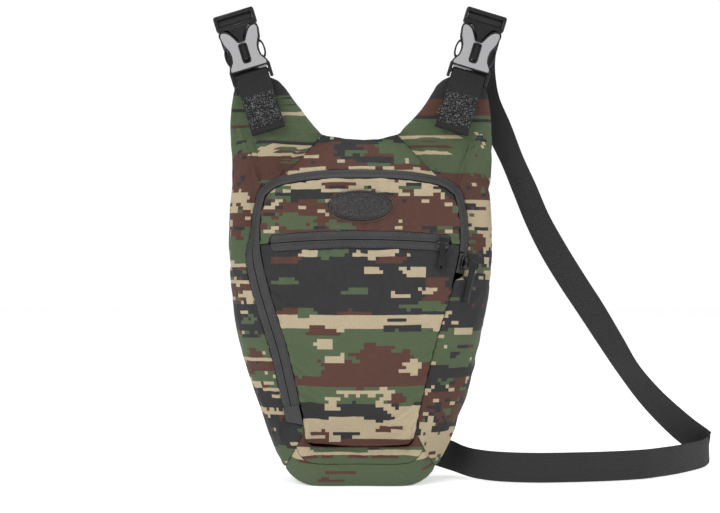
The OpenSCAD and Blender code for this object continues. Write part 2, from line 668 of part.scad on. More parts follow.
// The strap's hand-placed route: x, y, z, then the direction its width runs in.
right_route = [
    [112, 8.1, 411, 1, 0, -0.3], [112, 14, 394, 1, 0, -0.3], [109, 24, 379, 1, -0.1, -0.2], [109.5, 31, 361, 1, -0.25, 0],
    [114.5, 34, 338, 0.9, -0.45, 0.1], [126, 34, 312, 0.8, -0.55, 0.25], [137.5, 33, 285, 0.65, -0.7, 0.27],
    [149, 32, 258, 0.7, -0.64, 0.31], [160.5, 32, 230.5, 0.72, -0.6, 0.34], [175, 34, 203.5, 0.76, -0.48, 0.42],
    [192.5, 39, 176, 0.75, -0.46, 0.47], [211.5, 46, 148.5, 0.73, -0.5, 0.46], [230, 54, 120.5, 0.67, -0.61, 0.42],
    [249, 63, 92.5, 0.55, -0.72, 0.42], [274, 73, 63.5, 0.59, -0.57, 0.57], [303, 84, 37, 0.5, -0.3, 0.8],
    [322, 90, 23, 0.2, -0.1, 1], [327.5, 84, 18, 0, 0, 1], [324, 75, 15.5, 0, 0, 1],
    [314, 61, 14.4, 0, 0, 1], [289, 33, 14.2, 0, 0, 1], [267, 14, 14.2, 0, 0, 1], [246, 0, 14.2, 0, 0, 1],
    [209, -12, 14.2, 0, 0, 1], [156, -19, 14.2, 0, 0, 1], [122, -12, 14.2, 0, 0, 1],
    [103, 3, 14.4, 0, 0, 1], [93, 19, 15, 0, 0, 1], [82, 30, 18, 0, 0.05, 1], [64, 30.4, 24, 0, 0, 1]
];
left_route = [
    [-112, 8.1, 411, 1, 0, 0.3], [-112, 14, 394, 1, 0, 0.3], [-107, 24, 378, 1, 0, 0.2], [-101, 32.5, 352, 1, 0, 0.15],
    [-96, 34, 300, 1, 0, 0], [-88, 36, 230, 1, 0, 0], [-90, 44, 160, 1, 0, 0],
    [-82, 50, 90, 1, 0, 0], [-69, 42, 52, 1, 0, 0.3], [-63, 30.4, 28, 1, 0, 0.3]
];
module strap(route) {
    pts = smooth([for (r = route) [r[0], r[1], r[2]]], 4);
    across = smooth([for (r = route) [r[3], r[4], r[5]]], 4);
    ribbon(pts, across, strap_w);
}
module right_strap() { color(black) strap(right_route); }
module left_strap() { color(black) strap(left_route); }
// Webbing anchors sewn into the low corners of the back.
module strap_anchors() {
    color(black) for (s = [-1, 1])
        translate([s * 55 * bag_w / ref_w, mesh_y + mesh_t + 2.4, 26 * bag_h / ref_h]) rotate([0, s * 20, 0])
            translate([-13, -web_t / 2, -4]) cube([26, web_t, 12]);
}

base_panel();
front_ledge();
left_side_panel();
right_side_panel();
neck_panel();
back_mesh();
back_foam();
back_lining();
body_lining();
edge_piping();
base_board();
left_horn_foam();
right_horn_foam();
inner_pocket();
inner_pocket_binding();
main_zip_body_tape();
main_zip_body_teeth();
main_zip_parking_tape();
main_zip_stops();
main_zip_end_tab();
left_webbing_tab();
right_webbing_tab();
tab_stitching();
left_buckle_socket();
right_buckle_socket();
left_buckle_face();
right_buckle_face();
strap_anchors();
left_strap();
right_strap();
flap_top_panel();
pocket_panel();
flap_lining();
main_zip_flap_tape();
main_zip_flap_teeth();
pocket_zip_tapes();
pocket_zip_teeth();
pocket_zip_stops();
badge();
badge_stitching();
main_slider();
main_pull_link();
main_pull_grip();
pocket_slider();
pocket_pull();
left_buckle_plug();
left_plug_outer_prong();
left_plug_inner_prong();
right_buckle_plug();
right_plug_outer_prong();
right_plug_inner_prong();
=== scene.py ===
"""A chest sling bag in camouflage cloth: padded shell with two horns, an arched main zip, a
zipped front pocket, a side-release buckle on each horn and a webbing strap to each buckle.
Every length is in millimetres until a mesh is made, which is in metres."""

import math

import bmesh
import bpy
import numpy as np
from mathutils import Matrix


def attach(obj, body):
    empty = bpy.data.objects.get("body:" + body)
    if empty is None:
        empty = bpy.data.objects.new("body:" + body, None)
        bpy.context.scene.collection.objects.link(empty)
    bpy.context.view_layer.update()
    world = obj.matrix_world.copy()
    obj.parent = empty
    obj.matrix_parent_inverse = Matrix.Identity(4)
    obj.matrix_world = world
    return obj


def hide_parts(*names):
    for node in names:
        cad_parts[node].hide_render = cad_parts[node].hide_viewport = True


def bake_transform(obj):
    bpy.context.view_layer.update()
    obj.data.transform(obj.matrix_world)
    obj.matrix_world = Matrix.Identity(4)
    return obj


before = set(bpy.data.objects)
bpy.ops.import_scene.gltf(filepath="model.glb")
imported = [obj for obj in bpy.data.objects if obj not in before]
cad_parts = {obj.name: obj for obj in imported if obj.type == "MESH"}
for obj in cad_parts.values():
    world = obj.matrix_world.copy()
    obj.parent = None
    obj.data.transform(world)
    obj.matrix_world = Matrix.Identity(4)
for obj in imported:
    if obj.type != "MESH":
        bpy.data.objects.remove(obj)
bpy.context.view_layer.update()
MM = 0.001

# ------------------------------------------------------------------ camera, floor and light
# The bag stands at eye height on a pale floor that runs out into a white surround, in soft
# light from large panels: one high on the left, a weaker one on the right and one overhead.
camera = bpy.data.objects.new("camera", bpy.data.cameras.new("camera"))
camera.data.sensor_width = 36
camera.data.lens = 70.35
camera.location = (0.0, -1.240, 0.1975)
camera.rotation_euler = (math.radians(90), 0, 0)
bpy.context.scene.collection.objects.link(camera)
bpy.context.scene.camera = camera


def grid_mesh(name, points, uv=None, closed=(False, False), flip=False):
    """A mesh of four-sided facets on an (n, m, 3) grid of points in millimetres; closed says
    which of its two ways joins up. uv, if given, is (n, m, 2) in millimetres."""
    n, m = points.shape[:2]
    i = np.arange(n if closed[0] else n - 1)[:, None]
    j = np.arange(m if closed[1] else m - 1)[None, :]
    i2, j2 = (i + 1) % n, (j + 1) % m
    faces = np.stack([i * m + j, i2 * m + j, i2 * m + j2, i * m + j2], -1).reshape(-1, 4)
    if flip:
        faces = faces[:, ::-1]
    mesh = bpy.data.meshes.new(name)
    mesh.from_pydata((points.reshape(-1, 3) * MM).tolist(), [], faces.tolist())
    if uv is not None:
        layer = mesh.uv_layers.new(name="cloth")
        layer.data.foreach_set("uv", uv.reshape(-1, 2)[faces.reshape(-1)].ravel().astype(np.float32))
    mesh.shade_smooth()
    piece = bpy.data.objects.new(name, mesh)
    bpy.context.scene.collection.objects.link(piece)
    return piece


reach = np.linspace(-4000, 4000, 9)
plain = np.stack(np.broadcast_arrays(reach[:, None], reach[None], 0.0), -1)
floor = grid_mesh("floor", plain)
paper = bpy.data.materials.new("paper")
paper.use_nodes = True
paper.node_tree.nodes["Principled BSDF"].inputs["Base Color"].default_value = (0.9, 0.9, 0.9, 1)
paper.node_tree.nodes["Principled BSDF"].inputs["Roughness"].default_value = 0.9
paper.node_tree.nodes["Principled BSDF"].inputs["Emission Color"].default_value = (1, 1, 1, 1)
paper.node_tree.nodes["Principled BSDF"].inputs["Emission Strength"].default_value = 0.5
floor.data.materials.append(paper)

for name, size, power, place, aim in (
    ("key light", 1.3, 26, (-1.1, -1.5, 1.7), (0, 0, 0.2)),
    ("fill light", 1.6, 9, (1.7, -1.2, 1.0), (0, 0, 0.2)),
    ("top light", 1.8, 15, (0.1, 0.1, 2.2), (0, 0, 0.2)),
):
    lamp = bpy.data.objects.new(name, bpy.data.lights.new(name, "AREA"))
    lamp.data.size = size
    lamp.data.energy = power
    lamp.location = place
    to = np.array(aim) - np.array(place)
    lamp.rotation_euler = (math.atan2(math.hypot(to[0], to[1]), -to[2]), 0,
                           math.atan2(to[1], to[0]) - math.pi / 2)
    bpy.context.scene.collection.objects.link(lamp)
sky = bpy.data.worlds.new("sky")
sky.use_nodes = True
sky.node_tree.nodes["Background"].inputs["Color"].default_value = (1, 1, 1, 1)
seen = sky.node_tree.nodes.new("ShaderNodeLightPath").outputs["Is Camera Ray"]
power = sky.node_tree.nodes.new("ShaderNodeMath")
power.operation = "MULTIPLY_ADD"
power.inputs[1].default_value = 0.55
power.inputs[2].default_value = 0.5
sky.node_tree.links.new(seen, power.inputs[0])
sky.node_tree.links.new(power.outputs[0], sky.node_tree.nodes["Background"].inputs["Strength"])
bpy.context.scene.world = sky
bpy.context.scene.view_settings.view_transform = "Standard"

# ------------------------------------------------------------------------------------ straps
# One length of 26 mm webbing to each buckle: nylon, woven in a herringbone, 1.3 mm thick. The
# right one falls from its plug to the floor, turns back and is sewn to the back's low corner;
# the left one hangs behind the bag.
WEB_T = 1.3
STRAP_W = 26


def unit(v):
    """Each vector along the last axis, divided by its own length."""
    return v / np.linalg.norm(v, axis=-1, keepdims=True)


def smooth_line(points, steps):
    """A line through the points by Catmull and Rom's cubic: each stretch is half of the sum
    of 2b, (c - a)t, (2a - 5b + 4c - d)t^2 and (3b - a - 3c + d)t^3, ends repeated."""
    p = np.vstack([points[:1], points, points[-1:]]).astype(float)
    t = np.arange(steps)[None, :, None] / steps
    a, b, c, d = (p[k : len(p) - 3 + k, None, :] for k in range(4))
    line = 0.5 * (2 * b + (c - a) * t + (2 * a - 5 * b + 4 * c - d) * t**2 + (3 * b - a - 3 * c + d) * t**3)
    return np.vstack([line.reshape(-1, p.shape[1]), p[-1:]])


def girth(points, axis):
    """Distance walked along one axis of a grid of points, from nothing at its start."""
    step = np.linalg.norm(np.diff(points, axis=axis), axis=-1)
    start = np.zeros_like(np.take(step, [0], axis=axis))
    return np.concatenate([start, np.cumsum(step, axis=axis)], axis=axis)


def ribbon(name, line, across, width, thick=WEB_T):
    """A strip of webbing along a line: its section is a flat oval of the given width and
    thickness, as sign(cos) |cos|^0.35 by sign(sin) |sin|^0.6, swept with its width held to
    the `across` direction. Its UV is the distance across and along, in millimetres."""
    way = unit(np.gradient(line, axis=0))
    side = unit(across - (across * way).sum(-1, keepdims=True) * way)
    up = np.cross(way, side)
    turn = np.linspace(0, 2 * math.pi, 28, endpoint=False)
    x = np.sign(np.cos(turn)) * np.abs(np.cos(turn)) ** 0.35 * width / 2
    y = np.sign(np.sin(turn)) * np.abs(np.sin(turn)) ** 0.6 * thick / 2
    ends = np.ones(len(line))
    ends[[0, -1]] = 0.05
    grid = (line[:, None] + side[:, None] * x[None, :, None]
            + up[:, None] * (y[None, :] * ends[:, None])[..., None])
    far = girth(line[:, None], 0)[:, 0]
    uv = np.stack(np.broadcast_arrays(x[None, :], far[:, None]), -1)
    return grid_mesh(name, grid, uv, closed=(False, True))


def new_material(name, colour, roughness, **sockets):
    """A material with its Principled shader set up; returns it with its tree and shader."""
    material = bpy.data.materials.new(name)
    material.use_nodes = True
    shader = material.node_tree.nodes["Principled BSDF"]
    shader.inputs["Base Color"].default_value = (*colour, 1)
    shader.inputs["Roughness"].default_value = roughness
    for socket, value in sockets.items():
        shader.inputs[socket.replace("_", " ")].default_value = value
    return material, material.node_tree, shader


def node(tree, kind, *inputs, **settings):
    """A shader node of the kind, with settings made and inputs joined or set in order; an
    input of None is left as it is. Returns the node's first output."""
    made = tree.nodes.new("ShaderNode" + kind)
    for key, value in settings.items():
        setattr(made, key, value)
    for place, value in enumerate(inputs):
        if value is None:
            continue
        if isinstance(value, bpy.types.NodeSocket):
            tree.links.new(value, made.inputs[place])
        else:
            made.inputs[place].default_value = value
    return made.outputs[0]


def maths(tree, operation, *inputs):
    """A sum, product or other operation on numbers, as a node."""
    return node(tree, "Math", *inputs, operation=operation)


def object_place(tree):
    """Where a point is on its object, in metres."""
    return tree.nodes.new("ShaderNodeTexCoord").outputs["Object"]


def noise(tree, place, scale, detail=2.0, rough=0.5):
    """Soft noise read at a place, from 0 to 1."""
    made = tree.nodes.new("ShaderNodeTexNoise")
    tree.links.new(place, made.inputs["Vector"])
    made.inputs["Scale"].default_value = scale
    made.inputs["Detail"].default_value = detail
    made.inputs["Roughness"].default_value = rough
    return made.outputs["Fac"]


def bump(tree, shader, height, distance):
    """Relief from a height of 0 to 1, which is `distance` metres high."""
    made = tree.nodes.new("ShaderNodeBump")
    made.inputs["Distance"].default_value = distance
    tree.links.new(height, made.inputs["Height"])
    tree.links.new(made.outputs["Normal"], shader.inputs["Normal"])


def two_tones(tree, shader, factor, dark, light):
    """The base colour goes from dark to light with the factor."""
    ramp = tree.nodes.new("ShaderNodeValToRGB")
    ramp.color_ramp.elements[0].color = (*dark, 1)
    ramp.color_ramp.elements[1].color = (*light, 1)
    tree.links.new(factor, ramp.inputs["Fac"])
    tree.links.new(ramp.outputs["Color"], shader.inputs["Base Color"])
    return ramp


def webbing_material(name, dark, light, rib, relief):
    """Herringbone: ridges run up and down in turn across the width, as the sine of the distance along plus a
    zigzag across, a rib apart. The colour is lighter where the weave stands higher, a painted highlight on
    the ridges, and the noise in it varies the tone at random."""
    material, tree, shader = new_material(name, dark, 0.6, Specular_IOR_Level=0.25)
    place = node(tree, "UVMap", uv_map="cloth")
    parts = tree.nodes.new("ShaderNodeSeparateXYZ")
    tree.links.new(place, parts.inputs[0])
    across, far = parts.outputs[0], parts.outputs[1]
    zigzag = maths(tree, "PINGPONG", across, 1.6)
    phase = maths(tree, "ADD", far, zigzag)
    ridge = maths(tree, "SINE", maths(tree, "MULTIPLY", phase, 2 * math.pi / rib))
    column = maths(tree, "SINE", maths(tree, "MULTIPLY", across, 2 * math.pi / 1.6))
    height = maths(tree, "ADD", maths(tree, "MULTIPLY", ridge, 0.6), maths(tree, "MULTIPLY", column, 0.4))
    fuzz = noise(tree, place, 1.4, 3.0)
    weave = maths(tree, "MULTIPLY_ADD", height, 0.35, fuzz)
    # painted highlight: the higher the weave stands, the lighter its colour; the noise adds random tone
    two_tones(tree, shader, weave, dark, light)
    bump(tree, shader, weave, relief)
    return material


webbing_black = webbing_material("black webbing", (0.006, 0.006, 0.007), (0.042, 0.042, 0.043), 1.5, 0.0006)

right_route = np.array([
    [112, 8.1, 411, 1, 0, -0.3], [112, 14, 394, 1, 0, -0.3], [109, 24, 379, 1, -0.1, -0.2],
    [109.5, 31, 361, 1, -0.25, 0], [114.5, 34, 338, 0.9, -0.45, 0.1], [126, 34, 312, 0.8, -0.55, 0.25],
    [137.5, 33, 285, 0.65, -0.7, 0.27], [149, 32, 258, 0.7, -0.64, 0.31],
    [160.5, 32, 230.5, 0.72, -0.6, 0.34], [175, 34, 203.5, 0.76, -0.48, 0.42],
    [192.5, 39, 176, 0.75, -0.46, 0.47], [211.5, 46, 148.5, 0.73, -0.5, 0.46],
    [230, 54, 120.5, 0.67, -0.61, 0.42], [249, 63, 92.5, 0.55, -0.72, 0.42],
    [274, 73, 63.5, 0.59, -0.57, 0.57], [303, 84, 37, 0.5, -0.3, 0.8], [322, 90, 23, 0.2, -0.1, 1],
    [327.5, 84, 18, 0, 0, 1], [324, 75, 15.5, 0, 0, 1], [314, 61, 14.4, 0, 0, 1],
    [289, 33, 14.2, 0, 0, 1], [267, 14, 14.2, 0, 0, 1], [246, 0, 14.2, 0, 0, 1],
    [209, -12, 14.2, 0, 0, 1], [156, -19, 14.2, 0, 0, 1], [122, -12, 14.2, 0, 0, 1],
    [103, 3, 14.4, 0, 0, 1], [93, 19, 15, 0, 0, 1], [82, 30, 18, 0, 0.05, 1], [64, 30.4, 24, 0, 0, 1],
])
left_route = np.array([
    [-112, 8.1, 411, 1, 0, 0.3], [-112, 14, 394, 1, 0, 0.3], [-107, 24, 378, 1, 0, 0.2],
    [-101, 32.5, 352, 1, 0, 0.15], [-96, 34, 300, 1, 0, 0], [-88, 36, 230, 1, 0, 0],
    [-90, 44, 160, 1, 0, 0], [-82, 50, 90, 1, 0, 0], [-69, 42, 52, 1, 0, 0.3], [-63, 30.4, 28, 1, 0, 0.3],
])
for side, route in (("left", left_route), ("right", right_route)):
    line = smooth_line(route, 12)
    strap = ribbon(side + "_strap_webbing", line[:, :3], line[:, 3:], STRAP_W)
    strap.data.materials.append(webbing_black)
    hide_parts(side + "_strap")
    path = line[::4, :3] * MM
    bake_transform(strap)

# ------------------------------------------------------------------------- camouflage shell
# Four-colour printed nylon with a thin coating, cut in panels and sewn edge to edge over
# foam. Each panel is one grid on the bag's loft, puffed a little between its seams.
BACK_Y = 24
CLOTH_T = 1.2
TAPE_W = 14.5
# From the bottom middle up the right side to the top middle: the front panel's edge x, z,
# the outline's x, z and depth y, how round the wall between them is, and the ledge's bulge.
stations = np.array([
    [0, 34, 0, 0, -30, 1, 12], [34, 34, 36, 0, -30, 1, 12], [45, 38, 58, 7, -18, 1, 8],
    [50, 59, 72, 25, -4, 1, 2], [57.5, 93, 89, 65, 2, 1, 0], [64.5, 122, 100.5, 104, 4, 1, 0],
    [76.6, 161.5, 109.5, 153, 5, 1, 0], [82.25, 182.8, 113, 185, 5, 1, 0],
    [85.85, 200, 114.3, 210, 5, 1, 0], [86.9, 216, 114, 235, 5, 1, 0],
    [85.72, 233, 113.5, 262, 6, 0.9, 0], [82.5, 248.4, 114.5, 300, 7, 0.5, 0],
    [81, 251.2, 113.5, 325, 8, 0.2, 0], [78.9, 252.7, 110, 345, 8, 0, 0],
    [77.8, 253.9, 104, 353.5, 8, 0, 0], [76.6, 255, 91, 356, 8, 0, 0], [75.4, 255.9, 78, 354, 8, 0, 0],
    [74, 256.8, 70, 348.5, 8, 0, 0], [71.5, 258, 58, 330.5, 8, 0, 0], [69, 259, 45.5, 316, 8, 0, 0],
    [65.5, 260.1, 33, 305.8, 8, 0.1, 0], [50, 263, 22, 302, 8, 0.3, 0], [30, 265, 12, 300.3, 8, 0.4, 0],
    [0, 265.7, 0, 299.6, 8, 0.4, 0],
])
LAST = len(stations) - 1
BASE, NECK = 2.5, 20.0
PARK, SLIDER, FLAP = 7.0, 7.55, 8.1
LOW_END = 3.0


def left_side(s):
    """The same place on the left."""
    return 2 * LAST - s


def ease(t):
    """From 0 to 1 with level ends: t^2 (3 - 2t)."""
    t = np.clip(t, 0, 1)
    return t * t * (3 - 2 * t)


def mix(a, b, t):
    return a + (b - a) * t


def station(s):
    """The loft's numbers at any place round the loop, by the same cubic as a strap's line;
    past the top middle the rows come back down with x turned round."""
    s = np.asarray(s, float)
    whole = np.floor(s).astype(int)
    t = (s - whole)[..., None]
    rows = []
    for k in (-1, 0, 1, 2):
        i = (whole + k) % (2 * LAST)
        row = stations[np.where(i > LAST, 2 * LAST - i, i)].copy()
        row[..., [0, 2]] *= np.where(i > LAST, -1, 1)[..., None]
        rows.append(row)
    a, b, c, d = rows
    out = 0.5 * (2 * b + (c - a) * t + (2 * a - 5 * b + 4 * c - d) * t**2 + (3 * b - a - 3 * c + d) * t**3)
    out[..., 3] = np.maximum(out[..., 3], 0)
    return out


def edge(s):
    """The front panel's edge: forward of the middle, and less so towards the bottom."""
    r = station(s)
    y = -27 - 4 * ease((r[..., 1] - 34) / 60) - 3 * ease((r[..., 1] - 110) / 40)
    return np.stack([r[..., 0], y, r[..., 1]], -1)


def along(s):
    d = station(s + 0.02) - station(s - 0.02)
    return unit(np.stack([d[..., 0], 0 * d[..., 0], d[..., 1]], -1))


def outward(s):
    a = along(s)
    return np.stack([a[..., 2], 0 * a[..., 0], -a[..., 0]], -1)


def outline_out(s):
    d = station(s + 0.02) - station(s - 0.02)
    return unit(np.stack([d[..., 3], 0 * d[..., 3], -d[..., 2]], -1))


def band(s):
    """The way across the zip band, which leans 60 degrees back, or 12 on the left leg."""
    lean = np.radians(mix(60, 12, ease((s - left_side(9.5)) / 2.5)))[..., None]
    return np.cos(lean) * outward(s) + np.sin(lean) * np.array([0, 1, 0])


def band_normal(s):
    return unit(np.cross(band(s), along(s)))


def band_w(s):
    """The band's width: it closes to a plain seam just past either end of the zip."""
    s = np.asarray(s, float) % (2 * LAST)
    return TAPE_W * ease((s - PARK + 0.35) / 0.35) * ease((left_side(LOW_END) + 0.3 - s) / 0.3)


def wall(s, v):
    """The side of the bag: v from 0 to 1 runs from the zip band to the outline on a curve
    1 - (1 - v^p)^q in depth, plus the ledge's half wave, and from 1 to 2 straight back."""
    s, v = np.broadcast_arrays(s, v)
    r = station(s)
    e = np.minimum(v, 1)
    start = edge(s) + band_w(s)[..., None] * band(s)
    rim = np.stack([r[..., 2], r[..., 4], r[..., 3]], -1)
    rounded = np.clip(r[..., 5], 0, 1)
    p, q = mix(0.6, 1.5, rounded), mix(2, 0.55, rounded)
    h = 1 - np.maximum(0, 1 - e**p) ** q
    out = start + (rim - start) * e[..., None]
    back = np.clip(v - 1, 0, 1)
    ledge = np.maximum(r[..., 6], 0) * np.sin(np.pi * e**0.8)
    out[..., 1] = mix(start[..., 1], r[..., 4], h) - ledge + (BACK_Y - r[..., 4]) * back
    turned_in = 1.5 * ease(r[..., 3] / 20)
    return out - (turned_in * back)[..., None] * outline_out(s)


def normals(grid):
    """Unit normals of a grid, outwards for a panel of the shell."""
    a = np.gradient(grid, axis=0)
    b = np.gradient(grid, axis=1)
    n = np.cross(b, a)
    return n / np.maximum(np.linalg.norm(n, axis=-1, keepdims=True), 1e-9)


def waves(p, seed, size, count=7):
    """Soft bumps: the mean of some sines of the place, each in a random way and phase."""
    rng = np.random.default_rng(seed)
    ways = rng.normal(size=(count, 3))
    ways /= np.linalg.norm(ways, axis=1, keepdims=True)
    pitch = size * rng.uniform(0.6, 1.7, count)
    phase = rng.uniform(0, 2 * np.pi, count)
    return np.sin((p @ ways.T) * 2 * np.pi / pitch + phase).mean(-1)


def puffed(grid, rise, reach, seed, crease=0.35, pinned=(True, True, True, True)):
    """The grid moved out between its seams by rise (1 - exp(-d / reach)), d the distance to
    the nearest seam, with shallow creases that start at the seams and die inwards."""
    far_i, far_j = girth(grid, 0), girth(grid, 1)
    gaps = [far_i, far_i[-1:] - far_i, far_j, far_j[:, -1:] - far_j]
    d = np.min([g for g, p in zip(gaps, pinned) if p], axis=0)
    swell = rise * (1 - np.exp(-d / reach))
    pucker = crease * np.exp(-d / 9) * (1 - np.exp(-d / 1.5)) * waves(grid, seed, 9, 9) * 2.2
    slack = crease * (1 - np.exp(-d / 12)) * waves(grid, seed + 1, 46, 6) * 2.0
    return grid + normals(grid) * (swell + pucker + slack)[..., None]


CLOTH_PIECES = []
SETTLE_FRAMES = 22


def pin_border(piece, n, m, depth=1):
    """Holds the outermost rows of a grid piece's points while it settles."""
    i, j = np.divmod(np.arange(n * m), m)
    held = (i < depth) | (i >= n - depth) | (j < depth) | (j >= m - depth)
    group = piece.vertex_groups.new(name="sewn")
    group.add(np.flatnonzero(held).tolist(), 1.0, "REPLACE")


def lay_cloth(piece, pressure, slack, cap):
    """Queues a piece for settling: its cloth is cut larger than its frame by `slack`, blown
    out by the foam's pressure, and no point moves farther than about `cap` millimetres."""
    cloth = piece.modifiers.new("settle", "CLOTH")
    cloth.settings.quality = 5
    cloth.settings.mass = 0.15
    cloth.settings.tension_stiffness = 25
    cloth.settings.compression_stiffness = 25
    cloth.settings.shear_stiffness = 12
    cloth.settings.bending_stiffness = 0.6
    cloth.settings.vertex_group_mass = "sewn"
    cloth.settings.shrink_min = -slack
    cloth.settings.use_pressure = True
    cloth.settings.uniform_pressure_force = pressure
    cloth.settings.effector_weights.gravity = 0
    cloth.collision_settings.use_collision = False
    cloth.point_cache.frame_end = 24
    CLOTH_PIECES.append((piece, cap))


def settle_cloth():
    """Runs every queued piece at once, keeps cap tanh(d / cap) of each point's way d and
    takes the simulation off again."""
    scene = bpy.context.scene
    settled = {}
    for f in range(1, SETTLE_FRAMES + 1):
        scene.frame_set(f)
    graph = bpy.context.evaluated_depsgraph_get()
    for piece, cap in CLOTH_PIECES:
        rest, now = (np.empty(len(piece.data.vertices) * 3) for _ in range(2))
        piece.data.vertices.foreach_get("co", rest)
        piece.evaluated_get(graph).data.vertices.foreach_get("co", now)
        way = (now - rest).reshape(-1, 3)
        far = np.maximum(np.linalg.norm(way, axis=1, keepdims=True), 1e-9)
        limit = cap * MM
        settled[piece] = rest.reshape(-1, 3) + way / far * limit * np.tanh(far / limit)
    for piece, _ in CLOTH_PIECES:
        piece.modifiers.remove(piece.modifiers["settle"])
    for piece, points in settled.items():
        piece.data.vertices.foreach_set("co", points.ravel())
        piece.data.update()
    scene.frame_set(1)


def walls_of(piece, thick=CLOTH_T):
    """Gives a sheet its thickness, inwards, and smooths it once."""
    smooth = piece.modifiers.new("smooth", "SUBSURF")
    smooth.levels = smooth.render_levels = 1
    wall_mod = piece.modifiers.new("cloth", "SOLIDIFY")
    wall_mod.thickness = thick * MM
    wall_mod.offset = -1


# the four inks of the print
GREEN = (0.098, 0.132, 0.072)
BROWN = (0.112, 0.054, 0.042)
TAN = (0.52, 0.43, 0.29)
COAL = (0.040, 0.040, 0.042)
PRINT = {"g": GREEN, "b": BROWN, "t": TAN, "k": COAL}


def colour_over(tree, factor, under, over):
    """The colour `over` where the factor is 1 and what is `under` where it is 0."""
    mixed = tree.nodes.new("ShaderNodeMix")
    mixed.data_type = "RGBA"
    tree.links.new(factor, mixed.inputs["Factor"])
    tree.links.new(under, mixed.inputs["A"])
    mixed.inputs["B"].default_value = (*over, 1)
    return mixed.outputs["Result"]


def camouflage(name, zones, fields, seed, sway=9.0, flecks=0.0):
    """Printed camouflage with square edges. The cloth's place in millimetres is snapped to
    cells and jogged by noise that is wider than it is high. The ground is the zone its height
    falls in, from a list of (height, colour), jogged up or down by `sway`. Over it lie fields,
    each (colour, x, height, half width, half height), where |dx|^4 + |dz|^4 < 1, and then small
    flecks where noise passes a limit that `flecks` raises, so that fewer show; None leaves them
    out. A fine plain weave and soft creases give mottle and relief."""
    material, tree, shader = new_material(name, GREEN, 0.6, Specular_IOR_Level=0.15)
    place = node(tree, "UVMap", uv_map="cloth")
    snapped = tree.nodes.new("ShaderNodeVectorMath")
    snapped.operation = "SNAP"
    tree.links.new(place, snapped.inputs[0])
    snapped.inputs[1].default_value = (3.3, 2.9, 1)
    shifted = node(tree, "VectorMath", snapped.outputs[0], (seed * 37.7, seed * 91.3, seed * 3.1),
                   operation="ADD")

    def stretched(wide, high, detail=1.0, more=0.0):
        """Noise read at the snapped place, with features wide by high."""
        scaled = node(tree, "VectorMath", shifted, (1 / wide, 1 / high, 0), operation="MULTIPLY")
        moved = node(tree, "VectorMath", scaled, (more * 7.3, more * 3.7, more * 11.1), operation="ADD")
        return noise(tree, moved, 1.0, detail)

    jog_x = maths(tree, "MULTIPLY_ADD", stretched(11, 4.5, 1.0, 11), 30.0, -15.0)
    jog_z = maths(tree, "MULTIPLY_ADD", stretched(24, 9, 2.0, 12), sway * 2, -sway)
    jog = node(tree, "CombineXYZ", jog_x, jog_z)
    jogged = node(tree, "VectorMath", snapped.outputs[0], jog, operation="ADD")
    parts = tree.nodes.new("ShaderNodeSeparateXYZ")
    tree.links.new(jogged, parts.inputs[0])
    low, high = zones[0][0], zones[-1][0]
    spot = node(tree, "MapRange", parts.outputs[1], low, high, 0.0, 1.0)
    ground = tree.nodes.new("ShaderNodeValToRGB")
    ground.color_ramp.interpolation = "CONSTANT"
    tree.links.new(spot, ground.inputs["Fac"])
    elements = ground.color_ramp.elements
    elements[0].position, elements[0].color = 0.0, (*PRINT[zones[0][1]], 1)
    elements[1].position, elements[1].color = 1.0, (*PRINT[zones[-1][1]], 1)
    for z, tint in zones[1:-1]:
        mark = elements.new((z - low) / (high - low))
        mark.color = (*PRINT[tint], 1)
    colour = ground.outputs["Color"]
    for tint, x, z, half_w, half_h in fields:
        offset = node(tree, "VectorMath", jogged, (1 / half_w, 1 / half_h, 0), (-x / half_w, -z / half_h, 0),
                      operation="MULTIPLY_ADD")
        square = node(tree, "VectorMath", offset, offset, operation="MULTIPLY")
        fourth = node(tree, "VectorMath", square, square, operation="MULTIPLY")
        total = tree.nodes.new("ShaderNodeVectorMath")
        total.operation = "DOT_PRODUCT"
        tree.links.new(fourth, total.inputs[0])
        total.inputs[1].default_value = (1, 1, 0)
        inside = maths(tree, "LESS_THAN", total.outputs["Value"], 1.0)
        colour = colour_over(tree, inside, colour, PRINT[tint])
    if flecks is not None:
        for tint, wide, tall, limit, key in (
            (GREEN, 19, 6, 0.69, 1), (BROWN, 17, 6, 0.70, 2), (COAL, 15, 5, 0.70, 3), (TAN, 11, 5, 0.72, 4),
        ):
            colour = colour_over(tree, maths(tree, "GREATER_THAN", stretched(wide, tall, 0.0, key),
                                             limit + flecks), colour, tint)
    # the weave: two sets of threads at right angles, 0.55 mm apart
    flat = tree.nodes.new("ShaderNodeSeparateXYZ")
    tree.links.new(place, flat.inputs[0])
    warp = maths(tree, "SINE", maths(tree, "MULTIPLY", flat.outputs[0], 2 * math.pi / 0.55))
    weft = maths(tree, "SINE", maths(tree, "MULTIPLY", flat.outputs[1], 2 * math.pi / 0.55))
    threads = maths(tree, "MULTIPLY", warp, weft)
    slub = noise(tree, place, 0.9, 4.0, 0.7)
    mottle = maths(tree, "MULTIPLY_ADD", slub, 0.9, 0.52)
    shade = maths(tree, "MULTIPLY_ADD", threads, 0.06, mottle)
    toned = tree.nodes.new("ShaderNodeMix")
    toned.data_type = "RGBA"
    toned.blend_type = "MULTIPLY"
    toned.inputs["Factor"].default_value = 1.0
    tree.links.new(colour, toned.inputs["A"])
    tree.links.new(shade, toned.inputs["B"])
    tree.links.new(toned.outputs["Result"], shader.inputs["Base Color"])
    # soft creases: the valleys of broad noise, stretched along the height
    long = node(tree, "VectorMath", place, (1 / 21, 1 / 34, 0), operation="MULTIPLY")
    valley = maths(tree, "ABSOLUTE", maths(tree, "SUBTRACT", noise(tree, long, 1.0, 3.0, 0.45), 0.5))
    crease = maths(tree, "MULTIPLY", maths(tree, "SMOOTH_MIN", valley, 0.1, 0.08), 26.0)
    relief = maths(tree, "ADD", crease, maths(tree, "MULTIPLY_ADD", threads, 0.4, slub))
    bump(tree, shader, relief, 0.0003)
    return material


